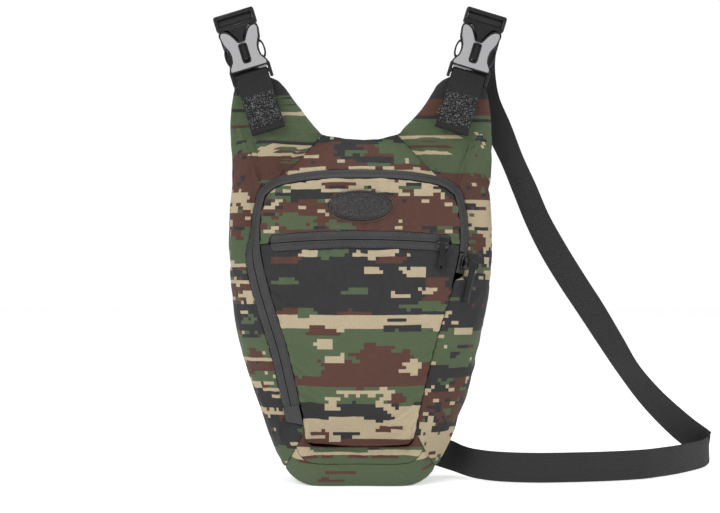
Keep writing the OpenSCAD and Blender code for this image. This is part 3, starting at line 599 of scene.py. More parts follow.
def wall_grid(s0, s1, v0, v1, rows, columns):
    """A grid on the wall from one seam to the next, and its UV: height against the way
    round from the front edge, measured on the cloth."""
    s = np.linspace(s0, s1, rows)[:, None]
    v = v0 + (v1 - v0) * np.linspace(0, 1, columns)[None, :]
    grid = wall(s, v)
    far = girth(grid, 1)
    out = np.sign(grid[..., 0].mean()) if abs(grid[..., 0].mean()) > 5 else 0
    if out:
        uv = np.stack([grid[:, :1, 0] + out * far, grid[..., 2]], -1)
    else:
        uv = np.stack([grid[..., 0], grid[:, :1, 2] - far], -1)
    return grid, uv


# Each zone is (height it starts at, colour); each field (colour, x, height, half width and
# half height). Colours: g green, b brown, t tan, k charcoal.
left_zones = [
    (0, "g"), (30, "k"), (58, "t"), (66, "k"), (80, "t"), (90, "g"), (97, "b"), (105, "t"), (109, "g"),
    (130, "k"), (155, "b"), (172, "t"), (176, "k"), (186, "t"), (190, "g"), (212, "b"), (234, "t"),
    (252, "b"), (283, "g"), (318, "t"), (321, "g"), (337, "k"), (360, "k"),
]
left_fields = [
    ("g", -98, 206, 10, 16), ("g", -100, 141, 9, 2.5), ("t", -60, 78, 9, 3), ("g", -68, 88, 10, 4),
    ("t", -44, 47, 9, 3), ("g", -106, 306, 12, 14), ("b", -76, 300, 24, 12), ("b", -60, 323, 16, 8),
    ("g", -55, 303, 20, 9), ("t", -58, 289, 12, 5), ("t", -65, 316, 14, 4), ("k", -42, 286, 12, 4),
    ("g", -92, 281, 12, 3), ("t", -112, 288, 8, 5), ("t", -100, 246, 10, 8), ("b", -84, 254, 20, 12),
    ("t", -95, 160, 8, 6), ("g", -74, 148, 8, 3), ("b", -98, 112, 6, 5),
]
right_zones = [
    (0, "g"), (22, "t"), (44, "k"), (54, "b"), (80, "k"), (101, "g"), (133, "k"), (170, "k"), (176, "t"),
    (184, "g"), (188, "k"), (201, "t"), (222, "t"), (244, "b"), (268, "g"), (316, "k"), (320, "b"),
    (334, "k"), (360, "k"),
]
right_fields = [
    ("k", 68, 63, 8, 7), ("g", 76, 88, 9, 2), ("b", 92, 84, 10, 8), ("t", 62, 50, 10, 4),
    ("t", 92, 132, 9, 4), ("g", 98, 210, 7, 7), ("k", 104, 223, 14, 1.8), ("k", 96, 240, 14, 2),
    ("b", 105, 206, 8, 9), ("t", 84, 205, 6, 8), ("b", 60, 304, 22, 3), ("b", 92, 300, 22, 4),
    ("k", 62, 276, 3.5, 3.5), ("k", 76, 276, 3.5, 3.5), ("t", 62, 344, 9, 4), ("b", 72, 255, 40, 7),
    ("g", 66, 290, 42, 14), ("k", 100, 318, 14, 3),
]
left_camouflage = camouflage("camouflage left side", left_zones, left_fields, 1.0, 6.0, 0.025)
right_camouflage = camouflage("camouflage right side", right_zones, right_fields, 2.0, 6.0, 0.025)
for side, s0, s1, print_cloth, seed in (
    ("right", BASE, NECK, right_camouflage, 11),
    ("left", left_side(NECK), left_side(BASE), left_camouflage, 23),
):
    grid, uv = wall_grid(s0 + 0.012, s1 - 0.012, 0.008, 2.0, 176, 44)
    grid = puffed(grid, 1.6, 7, seed, 0.45)
    piece = grid_mesh(side + "_side", grid, uv, flip=True)
    pin_border(piece, *grid.shape[:2])
    lay_cloth(piece, 3.0, 0.02, 2.2)
    piece.data.materials.append(print_cloth)
    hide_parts(side + "_side_panel")
    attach(piece, "bag")

# --------------------------------------------------------------- neck, ledge and base panels
# The neck panel joins the two horns over the arch of the zip; the ledge is the fold under
# the front pocket; the base is a shallow tray the bag stands on. All are the same cloth.
neck_zones = [(240, "t"), (268, "t"), (272, "b"), (288, "b"), (296, "k"), (310, "g")]
neck_fields = [
    ("g", 24, 292, 16, 8), ("g", 40, 285, 14, 8), ("k", -12, 289, 12, 8), ("b", 6, 291, 7, 6),
    ("k", 8, 279, 22, 2.5), ("g", -4, 287, 6, 3), ("g", 14, 276, 8, 2),
]
base_zones = [(-70, "g"), (0, "g"), (20, "b"), (22, "t"), (26, "g"), (30, "b"), (60, "b")]
base_fields = [
    ("b", -22, 11, 14, 2), ("b", -26, 4, 12, 1.5), ("t", 32, 25, 20, 3.4), ("t", -46, 27, 12, 4),
    ("g", -26, 27, 16, 2.4), ("k", 12, 29, 9, 1.6), ("b", 56, 12, 7, 2),
]
neck_camouflage = camouflage("camouflage neck", neck_zones, neck_fields, 3.0, 4.0, 0.04)
base_camouflage = camouflage("camouflage base", base_zones, base_fields, 4.0, 2.5, None)
LEDGE_V = 0.4
for name, node_name, s0, s1, v0, v1, rows, columns, rise, print_cloth, seed in (
    ("neck_yoke", "neck_panel", NECK + 0.012, left_side(NECK) - 0.012, 0.008, 2.0, 90, 44, 1.4,
     neck_camouflage, 31),
    ("ledge", "front_ledge", -BASE + 0.012, BASE - 0.012, 0.008, LEDGE_V - 0.006, 100, 14, 0.9,
     base_camouflage, 37),
    ("base_tray", "base_panel", -BASE + 0.012, BASE - 0.012, LEDGE_V + 0.006, 2.0, 100, 46, 0.9,
     base_camouflage, 41),
):
    grid, uv = wall_grid(s0, s1, v0, v1, rows, columns)
    grid = puffed(grid, rise, 5, seed, 0.4)
    grid[..., 2] = np.maximum(grid[..., 2], 0.05)
    if name == "neck_yoke":
        uv = np.stack([grid[..., 0], grid[..., 2] + np.maximum(grid[..., 1] - 6, 0)], -1)
    piece = grid_mesh(name, grid, uv, flip=True)
    pin_border(piece, *grid.shape[:2])
    if name != "base_tray":
        lay_cloth(piece, 2.0, 0.015, 1.4)
    piece.data.materials.append(print_cloth)
    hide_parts(node_name)
    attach(piece, "bag")

# --------------------------------------------------------------------- front flap and pocket
# The front is a shallow crown inside the arched zip. A short panel with the badge lies over
# the pocket zip and a long one under it, which runs on past the main zip's ends to the ledge.
CROWN = 6.0
FRONT_LOW, FRONT_HIGH = 34.0, 265.7
SEAM_IN = 1.5
POCKET_HALF, POCKET_Z, POCKET_RISE = 77.0, 208.5, 3.5
ZIP_EDGE_X = 86.9
EDGE_Y = -34.0


def crown_at(z):
    """How far the front stands out at a height: CROWN (1 - |t|^2.4), t from the middle."""
    t = np.clip(np.abs(z - (FRONT_LOW + FRONT_HIGH) / 2) / ((FRONT_HIGH - FRONT_LOW) / 2), 0, 1)
    return CROWN * (1 - t**2.4)


edge_s = np.linspace(0, LAST, 1200)
edge_line = edge(edge_s) - SEAM_IN * outward(edge_s)


def half_width(z):
    """The front's half width at a height below the corners of the arch."""
    low = edge_line[edge_s <= 11]
    return np.interp(z, low[:, 2], low[:, 0])


def front_depth(x, z):
    """y of the front at a place: the edge's depth less the crown, parabolic across."""
    side = np.interp(z, edge_line[:, 2], edge_line[:, 0])
    y = np.interp(z, edge_line[:, 2], edge_line[:, 1])
    across = np.clip(1 - (x / np.maximum(side, 12)) ** 2, 0, 1)
    return y - crown_at(z) * across


def pocket_line(x):
    return POCKET_Z + POCKET_RISE * (1 - (x / POCKET_HALF) ** 2)


def on_front(x, z):
    return np.stack([x, front_depth(x, z), z], -1)


WINDOW = TAPE_W / 2 + 0.2
arch = edge_line[edge_s >= 8.6]
arch_x, arch_z = arch[::-1, 0], arch[::-1, 2]
# the panel over the pocket zip: columns stand upright, closer together towards the sides
u = np.linspace(-1, 1, 131)[:, None]
t = np.linspace(0, 1, 46)[None, :]
widest = arch_x.max() - 0.02
x = widest * np.sin(u * math.pi / 2) + 0 * t
low = pocket_line(x) + WINDOW * ease((POCKET_HALF + 1.5 - np.abs(x)) / 2.5) + 0.15
top = np.interp(np.abs(x), arch_x, arch_z)
z = mix(low, np.maximum(top, low + 0.4), t)
top_grid = on_front(x, z)
top_uv = np.stack([x, z], -1)
top_grid = puffed(top_grid, 1.3, 6, 51, 0.25)
top_zones = [(205, "g"), (216, "b"), (230, "b"), (246, "k"), (252, "t"), (262, "t"), (270, "k")]
top_fields = [
    ("b", 48, 240, 34, 9), ("b", -18, 258, 18, 2), ("k", 14, 258, 9, 3), ("g", -55, 226, 15, 6),
    ("g", -22, 222, 14, 3.5), ("g", -80, 222, 8, 10), ("g", -66, 247, 12, 2.5), ("k", -76, 239, 7, 3),
    ("t", 32, 255, 38, 6), ("k", 68, 256, 9, 2), ("b", -30, 220, 10, 2), ("t", 34, 219.5, 4, 1.5),
    ("k", -44, 248, 20, 4),
]
top_camouflage = camouflage("camouflage top", top_zones, top_fields, 5.0, 4.0, 0.02)
flap_top = grid_mesh("flap_top", top_grid, top_uv, flip=True)
pin_border(flap_top, *top_grid.shape[:2])
lay_cloth(flap_top, 1.5, 0.012, 1.2)
flap_top.data.materials.append(top_camouflage)
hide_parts("flap_top_panel")
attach(flap_top, "flap")

# the pocket: rows run level from side to side, from the ledge up to the zip
u = np.linspace(-1, 1, 97)[:, None]
t = np.linspace(0, 1, 113)[None, :]
roof = pocket_line(u * ZIP_EDGE_X) - WINDOW * ease((POCKET_HALF + 1.5 - np.abs(u * ZIP_EDGE_X)) / 2.5) - 0.15
z = mix(FRONT_LOW + 0.6, roof, t)
# past the zip's two ends it is sewn to the sides, so there it reaches their very edge
sewn = np.where(u > 0, ease((176 - z) / 8), ease((60 - z) / 5))
x = u * (half_width(z) + 1.35 * sewn)
pocket_grid = on_front(x, z)
pocket_uv = np.stack([x, z], -1)
# the cloth hangs slack from the zip: it sags out low down, with creases from both corners
sag = 3.4 * np.exp(-(((z - 95) / 62) ** 2)) * np.clip(1 - u**2, 0, 1)
pocket_grid[..., 1] -= sag
pocket_grid = puffed(pocket_grid, 1.6, 8, 61, 0.5)
pocket_zones = [
    (30, "b"), (38, "t"), (57, "k"), (70, "g"), (84, "b"), (107, "g"), (133, "t"), (146, "k"), (190, "k"),
    (214, "k"),
]
pocket_fields = [
    ("t", 14, 198, 20, 3.5), ("b", 23, 193, 12, 2.5), ("g", -27, 198, 13, 3.4), ("t", -46, 198, 6, 3.2),
    ("b", -67, 193, 15, 2.6), ("t", 11, 185, 8, 3), ("t", 44, 183, 9, 4), ("g", -65, 175, 14, 2.2),
    ("g", -8, 167, 10, 3.4), ("b", 65, 167, 11, 12), ("t", 57, 165, 7, 3), ("t", 31, 165, 3.4, 3.4),
    ("g", 54, 154, 18, 3.2), ("g", -48, 149, 12, 3.4), ("b", -5, 148, 13, 3), ("b", -62, 149, 8, 3),
    ("k", 30, 142, 8, 2.2), ("k", 36, 135, 20, 2.6), ("b", -36, 133, 13, 3), ("t", -33, 121, 7, 3.4),
    ("t", -21, 109, 10, 4), ("b", 18, 111, 24, 6), ("b", 14, 119, 12, 3.2), ("g", -48, 102, 14, 8),
    ("t", 43, 101, 5.5, 8), ("t", 5, 81, 24, 2.2), ("t", 18, 72, 6, 7), ("t", -25, 71, 6, 6),
    ("b", 31, 75, 6, 3.2), ("k", -4, 69, 3.4, 3.4), ("t", 40, 61, 15, 8), ("k", 11, 59, 9, 3.4),
    ("b", 24, 49, 11, 2.6), ("k", -12, 43, 9, 2.8), ("b", -36, 43, 8, 2.4),
]
pocket_camouflage = camouflage("camouflage pocket", pocket_zones, pocket_fields, 6.0, 3.5, None)
pocket_front = grid_mesh("pocket_front", pocket_grid, pocket_uv, flip=True)
pin_border(pocket_front, *pocket_grid.shape[:2])
lay_cloth(pocket_front, 2.2, 0.02, 2.6)
pocket_front.data.materials.append(pocket_camouflage)
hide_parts("pocket_panel")

settle_cloth()
for name in ("left_side", "right_side", "neck_yoke", "ledge", "base_tray", "flap_top", "pocket_front"):
    walls_of(bpy.data.objects[name])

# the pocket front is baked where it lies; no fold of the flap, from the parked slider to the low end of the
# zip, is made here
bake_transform(pocket_front)

# ------------------------------------------------------------------------------------ linings
# Dark plain-woven lining inside the walls, the back and the flap, and an open pocket on the
# inside of the back with a bound mouth.
lining, tree, shader = new_material("dark lining", (0.05, 0.05, 0.055), 0.6, Specular_IOR_Level=0.2)
place = object_place(tree)
threads = noise(tree, node(tree, "VectorMath", place, (2600, 2600, 500), operation="MULTIPLY"), 1.0, 2.0)
two_tones(tree, shader, threads, (0.032, 0.032, 0.036), (0.085, 0.085, 0.09))
bump(tree, shader, threads, 0.0002)
for name, s0, s1, v0, v1, rows in (
    ("left", left_side(9.5), left_side(LOW_END) - 0.35, 0.4, 1.62, 70),
    ("low", -LOW_END + 0.35, PARK - 0.4, 0.4, 1.62, 90),
    ("right", PARK - 0.35, 9.5, 0.4, 1.62, 40),
    ("neck", NECK + 1.5, left_side(NECK + 1.5), 0.45, 1.4, 50),
):
    grid, uv = wall_grid(s0, s1, v0, v1, rows, 24)
    grid = grid - normals(grid) * 1.7
    piece = grid_mesh("wall_lining_" + name, grid, uv)
    walls_of(piece, 0.6)
    piece.data.materials.append(lining)
    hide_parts("body_lining")
    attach(piece, "bag")
u = np.linspace(-1, 1, 44)[:, None]
t = np.linspace(0, 1, 64)[None, :]
s = mix(0.5, LAST - 2.5, t)
rim = edge(s) - SEAM_IN * outward(s)
x = 0.965 * rim[..., 0] * u
grid = np.stack([x, rim[..., 1] - crown_at(rim[..., 2]) * (1 - (0.965 * u) ** 2) + 4.4,
                 rim[..., 2] + 0 * u], -1)
flap_inside = grid_mesh("flap_inside", grid, np.stack([x, rim[..., 2] + 0 * u], -1), flip=True)
walls_of(flap_inside, 0.6)
flap_inside.data.materials.append(lining)
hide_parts("flap_lining")
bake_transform(flap_inside)
for name in ("back_lining", "inner_pocket"):
    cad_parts[name].data.materials.clear()
    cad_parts[name].data.materials.append(lining)

# ------------------------------------------------------------------------------- zip tapes
# Coated zips with the coil on the inside: each tape is a matte strip with a soft lip that
# meets the other's in a slit. Fine ribs of the coil show through beside the slit.
TAPE_T = 0.8
SLIT = 0.35
LEFT_END = left_side(LOW_END) - 0.05
FLAP_END = left_side(LOW_END) - 0.35


def faces_of(n, m, closed):
    """Four-sided facets of an n by m grid, as rows of point numbers."""
    i = np.arange(n if closed[0] else n - 1)[:, None]
    j = np.arange(m if closed[1] else m - 1)[None, :]
    i2, j2 = (i + 1) % n, (j + 1) % m
    return np.stack([i * m + j, i2 * m + j, i2 * m + j2, i * m + j2], -1).reshape(-1, 4)


def joined(name, parts, place=None, sharp=40):
    """One mesh from several closed surfaces, each (grid of points, closed ways). A surface
    whose volume, a sixth of the sum of a . (b x c) over its triangles, comes out negative is
    turned round. `place` takes the points from their own frame, in millimetres, to the bag's."""
    points, faces, start = [], [], 0
    for grid, closed in parts:
        p = grid.reshape(-1, 3)
        if place is not None:
            p = place(p)
        f = faces_of(*grid.shape[:2], closed)
        a, b, c, d = (p[f[:, k]] for k in range(4))
        volume = (a * np.cross(b, c)).sum() + (a * np.cross(c, d)).sum()
        points.append(p)
        faces.append((f[:, ::-1] if volume < 0 else f) + start)
        start += len(p)
    mesh = bpy.data.meshes.new(name)
    mesh.from_pydata((np.vstack(points) * MM).tolist(), [], np.vstack(faces).tolist())
    work = bmesh.new()
    work.from_mesh(mesh)
    bmesh.ops.remove_doubles(work, verts=work.verts, dist=0.002 * MM)
    bmesh.ops.dissolve_degenerate(work, edges=work.edges, dist=0.001 * MM)
    work.to_mesh(mesh)
    work.free()
    mesh.shade_smooth()
    if sharp:
        mesh.set_sharp_from_angle(angle=math.radians(sharp))
    piece = bpy.data.objects.new(name, mesh)
    bpy.context.scene.collection.objects.link(piece)
    return piece


def sheet_part(top, thick, way):
    """A sheet as one closed surface: across the top, round the far edge, back underneath and
    shut at both ends. `way` is the direction, at each point, that the thickness runs in."""
    under = top + thick * way
    loop = np.concatenate([top, under[:, ::-1]], 1)
    middle = loop.mean(1, keepdims=True) + 0 * loop
    return np.concatenate([middle[:1], loop, middle[-1:]], 0), (False, True)


def tube_part(line, radius, sides=10, loop=False):
    """A round tube along a line, shut at its ends; the radius may change along it. The ring
    at each point is radius (cos a, sin a) across the line's own direction."""
    way = np.roll(line, -1, 0) - np.roll(line, 1, 0) if loop else np.gradient(line, axis=0)
    way = unit(way)
    guide = np.where(np.abs(way[:, 1:2]) < 0.9, np.array([[0, 1.0, 0]]), np.array([[1.0, 0, 0]]))
    side = unit(np.cross(guide, way))
    up = np.cross(way, side)
    a = np.linspace(0, 2 * np.pi, sides, endpoint=False)[None, :, None]
    r = (np.zeros(len(line)) + radius)[:, None, None]
    rings = line[:, None] + r * (np.cos(a) * side[:, None] + np.sin(a) * up[:, None])
    if loop:
        return rings, (True, True)
    ends = [np.repeat(line[k][None, None], sides, 1) for k in (0, -1)]
    return np.concatenate([ends[0], rings, ends[1]], 0), (False, True)


def on_band(s, across, up):
    """A place on the zip band: across it from the flap's edge, and out of it, in millimetres."""
    s, across, up = np.broadcast_arrays(s, across, up)
    return edge(s) + across[..., None] * band(s) + up[..., None] * band_normal(s)


def tape_part(at, a, b, columns, lip_at, length):
    """A tape from `a` to `b` across, on places at(along, across, up): a crowned strip whose
    lip, at `lip_at`, is rolled over, with coil ribs 1.3 mm apart within 3 mm of the lip."""
    x = np.linspace(a, b, columns)[None, :]
    t = np.linspace(0, 1, len(length))[:, None]
    near = np.abs(x - lip_at)
    crown_up = 0.35 * np.sin(np.pi * (x - a) / (b - a)) + 0.45 * np.exp(-((near / 1.1) ** 2))
    ribs = 0.24 * np.exp(-(((near - 2.0) / 1.3) ** 4)) * np.sin(2 * np.pi * length[:, None] / 1.3)
    top = at(t, x, crown_up + ribs)
    under = at(t, x, -TAPE_T + 0.2 + 0 * x)
    loop = np.concatenate([top, under[:, ::-1]], 1)
    middle = loop.mean(1, keepdims=True) + 0 * loop
    return np.concatenate([middle[:1], loop, middle[-1:]], 0), (False, True)


def band_tape(name, s0, s1, a, b, lip_at, rows):
    span = np.linspace(s0, s1, rows)
    length = girth(on_band(span, lip_at, 0.0)[:, None], 0)[:, 0]
    even = np.interp(np.linspace(0, length[-1], rows), length, span)

    def at(t, x, up):
        return on_band(np.interp(t, np.linspace(0, 1, rows), even), x, up)

    return joined(name, [tape_part(at, a, b, 12, lip_at, np.linspace(0, length[-1], rows))], sharp=0)


def stitches(line, out, pitch, size=(1.9, 0.42, 0.36)):
    """A row of stitches along a line, each a small spindle lying on the cloth: its radius at
    t along it is sqrt(1 - t^2). `out` is the way out of the cloth."""
    far = girth(line[:, None], 0)[:, 0]
    count = max(2, int(far[-1] / pitch))
    at = (np.arange(count) + 0.5) * far[-1] / count
    pick = lambda values: np.stack([np.interp(at, far, values[:, k]) for k in range(3)], -1)
    middle, up = pick(line), unit(pick(out + 0 * line))
    way = unit(pick(np.gradient(line, axis=0)))
    side = np.cross(up, way)
    t = np.linspace(-1, 1, 5)[None, :, None, None]
    a = np.linspace(0, 2 * np.pi, 6, endpoint=False)[None, None, :, None]
    r = np.sqrt(np.maximum(1 - t**2, 0.0))
    spot = lambda v: v[:, None, None, :]
    grid = (spot(middle) + t * size[0] / 2 * spot(way) + r * size[1] / 2 * np.cos(a) * spot(side)
            + r * size[2] / 2 * np.sin(a) * spot(up))
    return [(one, (False, True)) for one in grid]


tape_cloth, tree, shader = new_material("coated zip tape", (0.05, 0.05, 0.051), 0.5, Specular_IOR_Level=0.2)
place = object_place(tree)
knit = noise(tree, place, 2400, 2.0)
cloudy = noise(tree, place, 90, 3.0)
two_tones(tree, shader, maths(tree, "MULTIPLY_ADD", knit, 0.5, maths(tree, "MULTIPLY", cloudy, 0.5)),
          (0.022, 0.022, 0.023), (0.070, 0.070, 0.072))
bump(tree, shader, knit, 0.00012)
coil_nylon, tree, shader = new_material("coil nylon", (0.03, 0.03, 0.032), 0.38)
place = object_place(tree)
two_tones(tree, shader, noise(tree, place, 900, 2.0), (0.018, 0.018, 0.02), (0.05, 0.05, 0.054))
black_thread, tree, shader = new_material("black thread", (0.02, 0.02, 0.02), 0.5, Sheen_Weight=0.3)
place = object_place(tree)
two_tones(tree, shader, noise(tree, place, 5200, 2.0), (0.012, 0.012, 0.012), (0.11, 0.11, 0.11))
MID = TAPE_W / 2
for name, node_name, body, s0, s1, a, b, rows in (
    ("main_zip_outer_tape", "main_zip_body_tape", "bag", PARK + 0.05, LEFT_END, MID + SLIT, TAPE_W - 0.3,
     1500),
    ("main_zip_inner_tape", "main_zip_flap_tape", "flap", FLAP, FLAP_END, 0.3, MID - SLIT, 1400),
    ("main_zip_start_tape", "main_zip_parking_tape", "bag", PARK + 0.05, FLAP - 0.06, 0.3, MID - SLIT, 50),
):
    tape = band_tape(name, s0, s1, a, b, b if b < MID else a, rows)
    tape.data.materials.append(tape_cloth)
    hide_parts(node_name)
    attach(tape, body)
# the coils behind the tapes: a rod whose radius swells at every turn, 1.3 mm apart
for name, node_name, body, s0, s1, across in (
    ("main_zip_outer_coil", "main_zip_body_teeth", "bag", PARK + 0.25, FLAP_END - 0.1, MID + 1.5),
    ("main_zip_inner_coil", "main_zip_flap_teeth", "flap", FLAP, FLAP_END - 0.1, MID - 1.5),
):
    span = np.linspace(s0, s1, 2600)
    line = on_band(span, across, -TAPE_T - 0.85)
    far = girth(line[:, None], 0)[:, 0]
    coil = joined(name, [tube_part(line, 0.56 + 0.13 * np.sin(2 * np.pi * far / 1.3), 6)], sharp=0)
    coil.data.materials.append(coil_nylon)
    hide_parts(node_name)
    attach(coil, body)
# the tape end closed by a scrap of coated cloth
tab_span = np.linspace(LEFT_END - 0.3, LEFT_END + 0.33, 24)[:, None]
tab_across = 0.2 + np.linspace(0, 1, 14)[None, :] * np.maximum(band_w(tab_span) - 0.3, 0.3)
end_tab = joined("zip_end_tab", [sheet_part(on_band(tab_span + 0 * tab_across, tab_across,
                                                    0.75 + 0 * tab_across), -1.0,
                                            band_normal(tab_span) + 0 * tab_across[..., None])])
end_tab.data.materials.append(tape_cloth)
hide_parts("main_zip_end_tab")
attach(end_tab, "bag")


def pocket_at(t, across, up):
    """A place on the pocket zip: t from 0 to 1 from left to right, across it upwards."""
    t, across, up = np.broadcast_arrays(t, across, up)
    x = mix(-POCKET_HALF + 0.4, POCKET_HALF - 0.4, t)
    z = pocket_line(x) + across
    y = EDGE_Y - crown_at(POCKET_Z + POCKET_RISE) * (1 - (x / ZIP_EDGE_X) ** 2) - up
    return np.stack([x, y, z], -1)


POCKET_LONG = 2 * POCKET_HALF - 0.8
pocket_tapes = joined("pocket_zip_strip", [
    tape_part(pocket_at, SLIT, MID + 0.4, 12, SLIT, np.linspace(0, POCKET_LONG, 720)),
    tape_part(pocket_at, -MID - 0.4, -SLIT, 12, -SLIT, np.linspace(0, POCKET_LONG, 720)),
], sharp=0)
pocket_tapes.data.materials.append(tape_cloth)
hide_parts("pocket_zip_tapes")
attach(pocket_tapes, "flap")
line_t = np.linspace(0.03, 0.97, 900)
coils = []
for across in (-1.5, 1.5):
    line = pocket_at(line_t, across, -TAPE_T - 0.85)
    coils.append(tube_part(line, 0.56 + 0.13 * np.sin(2 * np.pi * line[:, 0] / 1.3), 6))
pocket_coils = joined("pocket_zip_coils", coils, sharp=0)
pocket_coils.data.materials.append(coil_nylon)
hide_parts("pocket_zip_teeth")
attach(pocket_coils, "flap")
# a folded binding rolls over the arch's edge on the flap, and stitches run beside each tape
roll_s = np.linspace(FLAP, FLAP_END, 400)
roll = joined("flap_edge_roll", [tube_part(on_band(roll_s, 0.0, 0.1), 0.85, 10)], sharp=0)
roll.data.materials.append(tape_cloth)
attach(roll, "flap")
seam_s = np.linspace(PARK + 0.1, FLAP_END, 1200)
seam_parts = stitches(on_band(seam_s, TAPE_W - 1.7, 0.45), band_normal(seam_s), 3.4)
zip_seam = joined("main_zip_outer_stitches", seam_parts, sharp=0)
seam_s = np.linspace(FLAP + 0.05, FLAP_END, 1100)
flap_seam = joined("main_zip_inner_stitches",
                   stitches(on_band(seam_s, 1.7, 0.45), band_normal(seam_s), 3.4), sharp=0)
seam_t = np.linspace(0.01, 0.99, 300)
pocket_parts = []
for across in (-MID + 0.7, MID - 0.7):
    pocket_parts += stitches(pocket_at(seam_t, across, 0.35), np.array([0, -1.0, 0]), 3.2)
pocket_seam = joined("pocket_zip_stitches", pocket_parts, sharp=0)
for piece, body in ((zip_seam, "bag"), (flap_seam, "flap"), (pocket_seam, "flap")):
    piece.data.materials.append(black_thread)
    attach(piece, body)

# ------------------------------------------------------------------------------------- badge
# An oval patch pressed from soft rubberised cloth: a raised rim, a sunk field with a plain
# relief of ridges and three bars, and a row of stitches round it. It carries no lettering.
BADGE_Z = 241
BADGE = (27.6, 13.2)
angle = np.linspace(0, 2 * np.pi, 180, endpoint=False)[:, None]
ring = np.concatenate([np.linspace(0, 0.86, 50), np.linspace(0.87, 1.0, 14)])[None, :]
x = BADGE[0] * ring * np.cos(angle)
z = BADGE_Z + BADGE[1] * ring * np.sin(angle)
rim_up = 0.75 * np.exp(-(((ring - 0.925) / 0.03) ** 4)) + 0.5 * np.exp(-(((ring - 0.83) / 0.018) ** 2))
down = z - BADGE_Z
field = (ring < 0.78) * np.clip((0.8 - ring) / 0.04, 0, 1)
peaks = np.clip(5.6 - np.abs(down - 2.2) * 1.4 - 2.2 * np.abs(np.sin(x / 4.1)) - 0.09 * np.abs(x), 0, 1.0)
bars = (np.abs(((down + 5.2) % 2.6) - 1.3) < 0.75) * (down < -0.6) * (np.abs(x) < 17)
grain = 0.22 * waves(np.stack([x, down, 0 * x], -1), 71, 2.0, 14)
up = 0.7 + rim_up + field * (0.35 * peaks + 0.32 * bars + grain) * (ring > 0)
up = up * np.clip((1 - ring) / 0.03, 0, 1)
front = np.stack([x, front_depth(x, z) - 1.5 - up, z], -1)
back = np.stack([x, front_depth(x, z) - 0.9 + 0 * x, z], -1)
patch = joined("oval_patch", [(np.concatenate([front, back[:, ::-1]], 1), (True, False))], sharp=0)
patch_cloth, tree, shader = new_material("pressed patch", (0.06, 0.045, 0.04), 0.42)
place = object_place(tree)
speck = noise(tree, place, 1100, 3.0)
tone = two_tones(tree, shader, speck, (0.004, 0.004, 0.005), (0.075, 0.064, 0.06))
tone.color_ramp.elements[0].position = 0.47
tone.color_ramp.elements[1].position = 0.72
bump(tree, shader, speck, 0.0003)
patch.data.materials.append(patch_cloth)
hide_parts("badge")
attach(patch, "flap")
turn = np.linspace(0, 2 * np.pi, 240)
x = (BADGE[0] + 0.9) * np.cos(turn)
z = BADGE_Z + (BADGE[1] + 0.9) * np.sin(turn)
ring_line = np.stack([x, front_depth(x, z) - 1.6, z], -1)
patch_seam = joined("oval_patch_stitches",
                    stitches(ring_line, np.array([0, -1.0, 0]), 2.4, (1.8, 0.5, 0.5)), sharp=0)
rim_thread, tree, shader = new_material("pale thread", (0.15, 0.135, 0.125), 0.6)
place = object_place(tree)
two_tones(tree, shader, noise(tree, place, 5200, 2.0), (0.05, 0.045, 0.042), (0.24, 0.22, 0.2))
patch_seam.data.materials.append(rim_thread)
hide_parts("badge_stitching")
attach(patch_seam, "flap")

# --------------------------------------------------------------------- buckles and their tabs
# A side-release buckle on each horn, moulded in acetal: a black socket with a grey face let
# into it, a black plug with its webbing bar, and two sprung prongs that end in loops. They
# stand on a bar that 30 mm webbing passes round, sewn down on the horn.
LEAN = math.radians(17)
FOOT = np.array([93.5, 3.0, 351.0])
ROLL_Z = 7.4
FACE_Y = -5.75


def on_horn(side):
    """Takes a buckle's own frame, x across, y through and z along it, to the horn's."""
    sign = -1 if side == "left" else 1

    def place(p):
        x = p[:, 0] * math.cos(LEAN) + p[:, 2] * math.sin(LEAN)
        z = -p[:, 0] * math.sin(LEAN) + p[:, 2] * math.cos(LEAN)
        out = np.stack([x, p[:, 1], z], -1) + FOOT
        return out * np.array([sign, 1, 1])

    return place


def horn_ribbon(name, line, width, thick, side):
    """A ribbon along a line in a buckle's own frame, taken to its horn. The left horn is the
    right one mirrored, so there the facets are turned round."""
    piece = ribbon(name, line, np.tile([1.0, 0, 0], (len(line), 1)), width, thick)
    points = np.empty(len(piece.data.vertices) * 3)
    piece.data.vertices.foreach_get("co", points)
    piece.data.vertices.foreach_set("co", (on_horn(side)(points.reshape(-1, 3) / MM) * MM).ravel())
    if side == "left":
        piece.data.flip_normals()
    piece.data.update()
    return piece


def along_rays(loop, about, rays):
    """The outline's points where rays at the given angles from a centre meet it."""
    a = np.arctan2(loop[:, 0] - about[0], loop[:, 1] - about[1])
    r = np.linalg.norm(loop - about, axis=1)
    order = np.argsort(a)
    a, r = a[order], r[order]
    far = np.interp(rays, np.concatenate([a - 2 * np.pi, a, a + 2 * np.pi]), np.tile(r, 3))
    return about + far[:, None] * np.stack([np.sin(rays), np.cos(rays)], -1)


def rounded_loop(corners, radius, count=220):
    """A closed outline in x, z through the corners, evenly spaced, its corners eased by a
    moving mean whose width is the radius."""
    c = np.array(corners, float)
    line = np.vstack([c, c[:1]])
    far = girth(line[:, None], 0)[:, 0]
    at = np.linspace(0, far[-1], count, endpoint=False)
    p = np.stack([np.interp(at, far, line[:, k]) for k in (0, 1)], -1)
    reach = max(1, int(radius / (far[-1] / count)))
    weight = np.hanning(2 * reach + 3)[1:-1]
    weight /= weight.sum()
    padded = np.concatenate([p[-len(weight):], p, p[: len(weight)]])
    eased = np.stack([np.convolve(padded[:, k], weight, "same") for k in (0, 1)], -1)
    return eased[len(weight) : -len(weight)]


